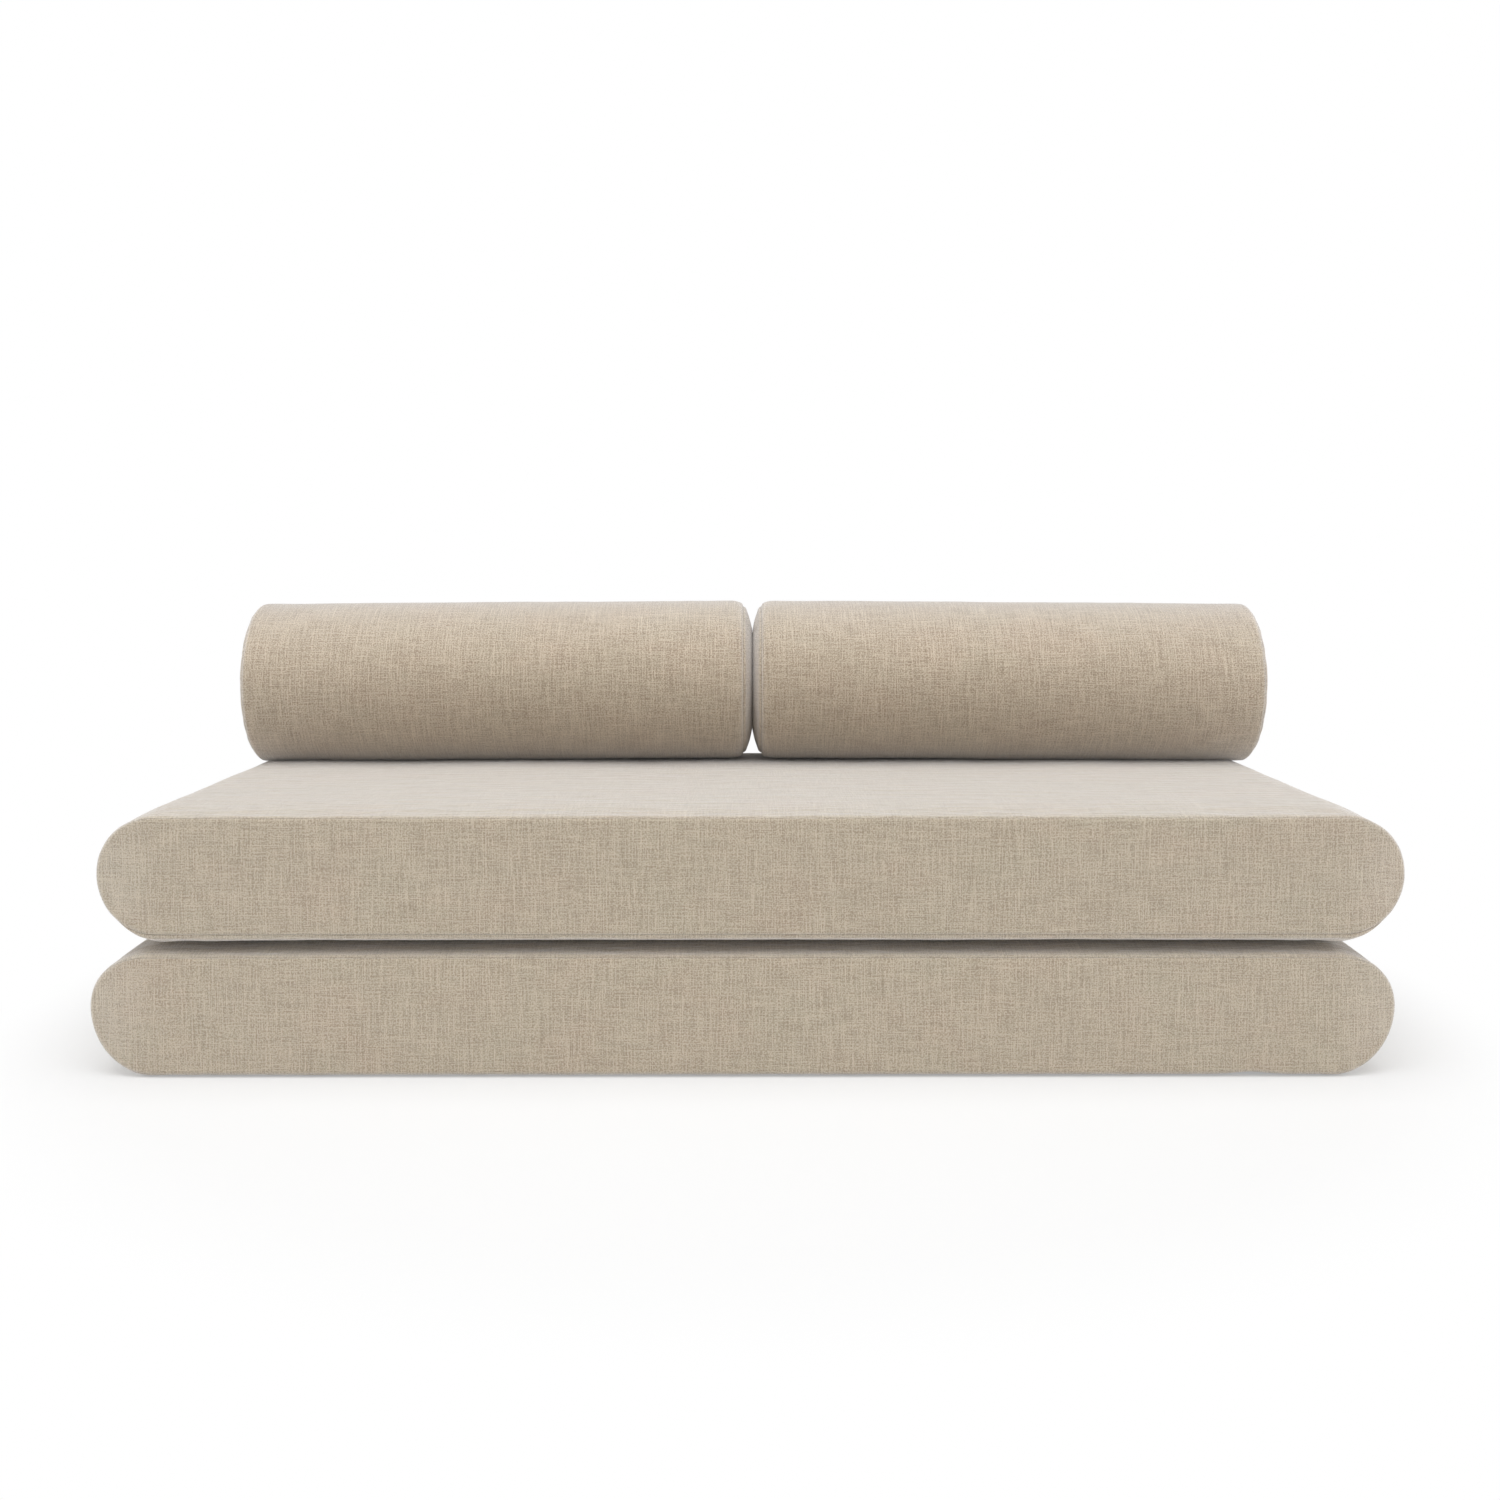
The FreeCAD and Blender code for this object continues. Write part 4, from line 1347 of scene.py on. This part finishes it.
def tape_stitches(name):
    """The rows of thread that sew a zip's coil to its tapes and its tapes to the cover."""
    low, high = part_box(name + "_zip_tapes")
    chain_low, chain_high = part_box(name + "_zip_chain")
    pitch = settings("cloths").stitch_pitch
    beside_coil, beside_cover, from_end = 0.9 * MM, 2.6 * MM, 2 * MM
    start, stop, depth = low.x + from_end, high.x - from_end, high.y - TAPE_RECESS
    lines = [chain_low.z - beside_coil, chain_high.z + beside_coil]
    lines += [low.z + beside_cover, high.z - beside_cover]
    rows = [stitches(name + "_row", start, stop, depth, across, pitch) for across in lines]
    return join(name + "_zip_stitches", rows)


def coil_rows(name):
    """A zip's two rows of coil turns, hooked into each other."""
    low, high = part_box(name + "_zip_chain")
    pitch = settings("zips").pitch
    middle, hook = (low.z + high.z) / 2, 1.3 * MM
    sides = ((0.0, low.z, middle + hook, 1), (pitch / 2, middle - hook, high.z, -1))
    rows = []
    for shift, start, stop, tip in sides:
        first = low.x + shift
        turn = block(name + "_turn", (first, low.y, start), (first + 0.42 * pitch, high.y, stop))
        pick(turn, lambda f: f.normal.z * tip > 0.9)
        bpy.ops.transform.resize(value=(1.12, 0.9, 1.0))
        leave()
        ease_edges(turn, 0.28 * MM, 1)
        repeat(turn, pitch, int((high.x - first) / pitch))
        rows.append(turn)
    return join(name + "_zip_coil", rows)


def end_stops(name):
    """The metal clips at a zip's two ends."""
    low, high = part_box(name + "_zip_stops")
    chain_low, chain_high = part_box(name + "_zip_chain")
    clips = []
    for start, stop in ((low.x, chain_low.x), (chain_high.x, high.x)):
        clip = block(name + "_clip", (start, low.y, low.z), (stop, high.y, high.z))
        recess(clip, faces_back, 0.9 * MM, 0.35 * MM)
        ease_edges(clip, 0.3 * MM)
        clips.append(clip)
    return join(name + "_zip_end_stops", clips)


def slider_cast(name):
    """A zip's slider: a shield with a channel over the coil, two ears and the pin between them."""
    low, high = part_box(name + "_zip_slider")
    chain_low, chain_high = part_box(name + "_zip_chain")
    pull_low, pull_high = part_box(name + "_zip_pull")
    middle = (low + high) / 2
    air = 0.3 * MM
    roof, channel = high.y - 2.5 * MM, chain_high.y + air
    wall = (chain_high.z - chain_low.z) / 2 + air
    shield = block(name + "_shield", (low.x, channel, low.z), (high.x, roof, high.z))
    for side in (-1, 1):
        enter(shield)
        bpy.ops.mesh.select_all(action="SELECT")
        bpy.ops.mesh.bisect(plane_co=(0.0, 0.0, middle.z + side * wall), plane_no=(0.0, 0.0, 1.0))
        leave()
    pick(shield, lambda f: f.normal.y < -0.9 and abs(f.calc_center_median().z - middle.z) > wall)
    bpy.ops.mesh.extrude_region_move(TRANSFORM_OT_translate={"value": (0.0, low.y - channel, 0.0)})
    leave()
    pick(shield, lambda f: f.normal.x < -0.9)
    bpy.ops.transform.resize(value=(1.0, 1.0, 0.86))
    leave()
    ease_edges(shield, 0.45 * MM, 3)
    parts = [shield]
    half = 1.5 * MM
    for side in (-1, 1):
        near, far = sorted((middle.z + side * 3.2 * MM, middle.z + side * 4.2 * MM))
        corner = (middle.x - half, roof - 0.6 * MM, near)
        ear = block(name + "_ear", corner, (middle.x + half, high.y, far))
        ease_edges(ear, 0.35 * MM, 3)
        parts.append(ear)
    pin_y, reach = (pull_low.y + pull_high.y) / 2, 4.5 * MM
    ends = [(middle.x, pin_y, middle.z + side * reach) for side in (-1, 1)]
    pin = rod(name + "_pin", 0.6 * MM, *ends)
    ease_edges(pin, 0.2 * MM)
    return join(name + "_zip_slider_cast", [*parts, pin])


def pull_tab(name):
    """A zip's pull: an eye on the slider's pin, a neck, and a rounded tab with a rim and a hole."""
    low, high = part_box(name + "_zip_pull")
    slider_low, slider_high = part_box(name + "_zip_slider")
    pin_x = (slider_low.x + slider_high.x) / 2
    pin_y, middle = (low.y + high.y) / 2, (low.z + high.z) / 2
    eye = rod(name + "_eye", 1.0 * MM, (pin_x, pin_y, low.z), (pin_x, pin_y, high.z), 28, "NOTHING")
    thicken(eye, 0.5 * MM)
    ease_edges(eye, 0.12 * MM)
    half = 0.6 * MM

    def bar(kind, start, stop, width):
        corner = (start, pin_y - half, middle - width)
        return block(name + kind, corner, (stop, pin_y + half, middle + width))

    neck = bar("_neck", pin_x - 6.5 * MM, pin_x - 0.95 * MM, 1.5 * MM)
    ease_edges(neck, 0.25 * MM)
    tab = bar("_tab", low.x, pin_x - 6 * MM, 2.5 * MM)
    pick(tab, lambda e: abs(e.verts[0].co.y - e.verts[1].co.y) > half, "EDGE")
    bpy.ops.mesh.bevel(offset=1.9 * MM, segments=5)
    leave()
    recess(tab, lambda f: abs(f.normal.y) > 0.9, 0.7 * MM, 0.2 * MM)
    drill = rod(name + "_drill", 1.2 * MM, (0.0, 0.0, -2 * MM), (0.0, 0.0, 2 * MM), 24)
    drill.rotation_euler = (math.pi / 2, 0.0, 0.0)
    drill.location = (low.x + 3.5 * MM, pin_y, middle)
    apply_place(drill)
    hole = tab.modifiers.new("hole", "BOOLEAN")
    hole.operation = "DIFFERENCE"
    hole.solver = "EXACT"
    hole.object = drill
    apply_modifiers(tab)
    bpy.data.objects.remove(drill)
    ease_edges(tab, 0.14 * MM)
    return join(name + "_zip_pull_tab", [eye, neck, tab])


def one_for_each_zip(maker, node):
    """A piece modelled on the first zip and copied to the others, by where their nodes are."""
    first, *others = BODIES
    pieces = {first: maker(first)}
    for name in others:
        piece = pieces[first].copy()
        piece.data = pieces[first].data.copy()
        piece.data.transform(Matrix.Translation(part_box(name + node)[0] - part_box(first + node)[0]))
        piece.name = pieces[first].name.replace(first, name, 1)
        piece.data.name = piece.name
        bpy.context.scene.collection.objects.link(piece)
        pieces[name] = piece
    return pieces


class SOFABED_OT_zips(bpy.types.Operator):
    """Make the four zips"""

    bl_idname = "sofabed.zips"
    bl_label = "Zips"

    def execute(self, context):
        tape = woven_material("zip_tape_weave", settings("zips").tape, 0.0007, 0.00025)
        coil = coil_material("nylon_coil")
        metal = metal_material("brushed_nickel")
        sliders = one_for_each_zip(slider_cast, "_zip_slider")
        pulls = one_for_each_zip(pull_tab, "_zip_pull")
        for name, body in BODIES.items():
            made = (
                (tape_pair(name), tape, body, "zip_tape", [name + "_zip_tapes"]),
                (tape_stitches(name), thread_material(), body, "zip_tape", []),
                (coil_rows(name), coil, body, "zip_coil", [name + "_zip_chain"]),
                (end_stops(name), metal, body, "zip_metal", [name + "_zip_stops"]),
                (sliders[name], metal, name + "_slider_body", "zip_metal", [name + "_zip_slider"]),
                (pulls[name], metal, name + "_pull_body", "zip_metal", [name + "_zip_pull"]),
            )
            for piece, *finish in made:
                smooth(piece)
                finish_piece(piece, *finish)
        return {"FINISHED"}


# Thickness of the hinge and base cloths, and the rounding of their rims
CLOTH_WALL = 0.8 * MM
CLOTH_RIM = 0.2 * MM
# Half the width in which the hinge cloth bends, and how far its stitches lie from its edges and its ends
HINGE_ROWS = (4 * MM, 9 * MM)
HINGE_END = 6 * MM


def woven_sheet(name, low, high, turned, cells, ripple):
    """A cloth between two corners with slight ripples, flat on the floor or, where it is turned, upright."""
    size = high - low
    columns, rows = cells
    deselect()
    bpy.ops.mesh.primitive_grid_add(
        x_subdivisions=columns, y_subdivisions=rows, size=1.0, location=(low + high) / 2
    )
    piece = bpy.context.active_object
    piece.name = name
    piece.scale = (size.x, size.z if turned else size.y, 1.0)
    piece.rotation_euler = (math.pi / 2 if turned else 0.0, 0.0, 0.0)
    apply_place(piece)
    height, along, across, seed = ripple
    up, out = (2, 1) if turned else (1, 2)
    points = coordinates(piece.data)
    points[:, out] += height * noise_at((p[0] / along, p[up] / across, seed) for p in points)
    set_coordinates(piece.data, points)
    thicken(piece, CLOTH_WALL)
    ease_edges(piece, CLOTH_RIM)
    smooth(piece)
    return piece


def make_hinge(look):
    """The hinge cloth over the joint of the two mattresses, with two rows of stitches on each."""
    low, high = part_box("hinge_strip")
    hinge = woven_sheet("hinge_cloth", low, high, True, (200, 48), (0.12 * MM, 0.05, 0.03, 2.0))
    twill = woven_material("hinge_twill", look.hinge, 0.0013, 0.0004)
    finish_piece(hinge, twill, None, "hinge_cloth", ["hinge_strip"])
    middle = (low + high) / 2
    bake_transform(hinge)
    start, stop, depth = low.x + HINGE_END, high.x - HINGE_END, middle.y + CLOTH_WALL / 2
    for name, edge, inwards in (("lower", low.z, 1), ("upper", high.z, -1)):
        lines = [edge + inwards * step for step in HINGE_ROWS]
        pair = [stitches("row", start, stop, depth, across, look.stitch_pitch) for across in lines]
        row = join("hinge_stitches_" + name, pair)
        smooth(row)
        finish_piece(row, thread_material(), BODIES[name], "hinge_cloth")


def make_base():
    """The base cloth under the lower mattress."""
    low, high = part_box("lower_base_panel")
    base = woven_sheet("base_cloth", low, high, False, (120, 40), (0.2 * MM, 0.11, 0.09, 7.0))
    finish_piece(base, base_material("grip_cloth"), "lower_mattress", "base_cloth", ["lower_base_panel"])


class SOFABED_OT_cloths(bpy.types.Operator):
    """Make the hinge cloth with its stitches, and the base cloth"""

    bl_idname = "sofabed.cloths"
    bl_label = "Hinge and base cloth"

    def execute(self, context):
        make_hinge(settings("cloths"))
        make_base()
        return {"FINISHED"}


# Stage

WHITE = (1.0, 1.0, 1.0, 1.0)
# Distances from the middle between which the floor's shadow fades out
SHADOW_FADE = (1.0, 1.3)
# Size in metres, place, and turn in degrees of each lamp
LAMPS = {
    "overhead": ((4.5, 3.2), (-0.15, -0.95, 2.9), (17.0, -2.0, 0.0)),
    "left_fill": ((1.2, 1.2), (-2.6, -0.6, 0.7), (0.0, -90.0, 0.0)),
    "right_fill": ((1.2, 1.2), (2.6, -0.6, 0.7), (0.0, 90.0, 0.0)),
}


def seen_rays(tree):
    """1 where the camera, a reflection or glass looks, 0 where light bounces."""
    rays = put(tree, "ShaderNodeLightPath").outputs
    seen = calc(tree, "ADD", rays["Is Camera Ray"], rays["Is Glossy Ray"])
    return calc(tree, "ADD", seen, rays["Is Transmission Ray"], clamp=True)


def make_floor(look):
    """A pale floor that is white away from the object and keeps its shadow near it."""
    deselect()
    bpy.ops.mesh.primitive_plane_add(size=60.0, location=(0.0, 0.0, -0.4 * MM))
    floor = bpy.context.active_object
    floor.name = "floor"
    material, tree, shader = new_material("pale_floor")
    output = next(n for n in tree.nodes if n.type == "OUTPUT_MATERIAL")
    seen = seen_rays(tree)
    ground = mix_colour(tree, seen, opaque(look.floor), opaque(look.floor_seen))
    feed(tree, shader, {"Base Color": ground, "Roughness": 0.9, "Specular IOR Level": 0.0})
    glow = put(tree, "ShaderNodeEmission", {"Color": WHITE, "Strength": 1.0})
    away = put(tree, "ShaderNodeVectorMath", {0: object_place(tree)}, operation="LENGTH").outputs["Value"]
    clear = times(tree, seen, ramp(tree, away, *SHADOW_FADE, look.clear, 1.0))
    both = put(tree, "ShaderNodeMixShader", {0: clear, 1: shader.outputs[0], 2: glow.outputs[0]})
    feed(tree, output, {"Surface": both.outputs[0]})
    floor.data.materials.append(material)


def make_light(look):
    """An even light that looks white, and the lamps."""
    scene = bpy.context.scene
    world = bpy.data.worlds.new("studio")
    world.use_nodes = True
    scene.world = world
    tree = world.node_tree
    sky = next(n for n in tree.nodes if n.type == "BACKGROUND")
    feed(tree, sky, {"Color": WHITE, "Strength": ramp(tree, seen_rays(tree), 0.0, 1.0, look.sky, 1.0)})
    for name, (size, place, turn) in LAMPS.items():
        lamp = bpy.data.lights.new(name, "AREA")
        lamp.shape = "RECTANGLE"
        lamp.size, lamp.size_y = size
        lamp.energy = getattr(look, name)
        box = bpy.data.objects.new(name, lamp)
        box.location = place
        box.rotation_euler = [math.radians(t) for t in turn]
        box.visible_camera = False
        scene.collection.objects.link(box)


def make_camera(look):
    """The camera at the photograph's viewing angle."""
    scene = bpy.context.scene
    camera = bpy.data.objects.new("camera", bpy.data.cameras.new("camera"))
    camera.location = look.camera_at
    camera.rotation_euler = (math.pi / 2 - look.pitch, 0.0, -look.yaw)
    camera.data.sensor_width = 36.0
    camera.data.lens = look.lens
    camera.data.shift_y = look.shift
    scene.collection.objects.link(camera)
    scene.camera = camera
    scene.view_settings.view_transform = "Standard"


class SOFABED_OT_stage(bpy.types.Operator):
    """Make the floor, the light and the camera"""

    bl_idname = "sofabed.stage"
    bl_label = "Stage"

    def execute(self, context):
        look = settings("stage")
        make_floor(look)
        make_light(look)
        make_camera(look)
        return {"FINISHED"}


class SOFABED_PT_sidebar(bpy.types.Panel):
    """Settings and makers of the sofa bed"""

    bl_label = "Sofa Bed"
    bl_idname = "SOFABED_PT_sidebar"
    bl_space_type = "VIEW_3D"
    bl_region_type = "UI"
    bl_category = "Sofa Bed"

    def draw(self, context):
        for kind, group in GROUPS.items():
            box = self.layout.box()
            box.label(text=kind.title())
            for key in group.__annotations__:
                box.prop(settings(kind), key)
        for maker in MAKERS:
            self.layout.operator(maker.bl_idname)


GROUPS = {
    "cover": CoverSettings,
    "cushions": CushionSettings,
    "zips": ZipSettings,
    "cloths": ClothSettings,
    "stage": StageSettings,
}
MAKERS = (
    SOFABED_OT_stage,
    SOFABED_OT_mattresses,
    SOFABED_OT_bolsters,
    SOFABED_OT_zips,
    SOFABED_OT_cloths,
)


def register():
    """Adds the settings, the operators and the sidebar panel."""
    for kind, group in GROUPS.items():
        bpy.utils.register_class(group)
        setattr(bpy.types.Scene, "sofa_bed_" + kind, PointerProperty(type=group))
    for maker in MAKERS:
        bpy.utils.register_class(maker)
    bpy.utils.register_class(SOFABED_PT_sidebar)


def unregister():
    """Removes what register added."""
    bpy.utils.unregister_class(SOFABED_PT_sidebar)
    for maker in reversed(MAKERS):
        bpy.utils.unregister_class(maker)
    for kind, group in reversed(GROUPS.items()):
        delattr(bpy.types.Scene, "sofa_bed_" + kind)
        bpy.utils.unregister_class(group)


def main():
    """Makes every piece in order."""
    register()
    bpy.ops.sofabed.stage()
    bpy.ops.sofabed.mattresses()
    bpy.ops.sofabed.bolsters()
    bpy.ops.sofabed.zips()
    bpy.ops.sofabed.cloths()
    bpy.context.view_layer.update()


if __name__ == "__main__":
    main()
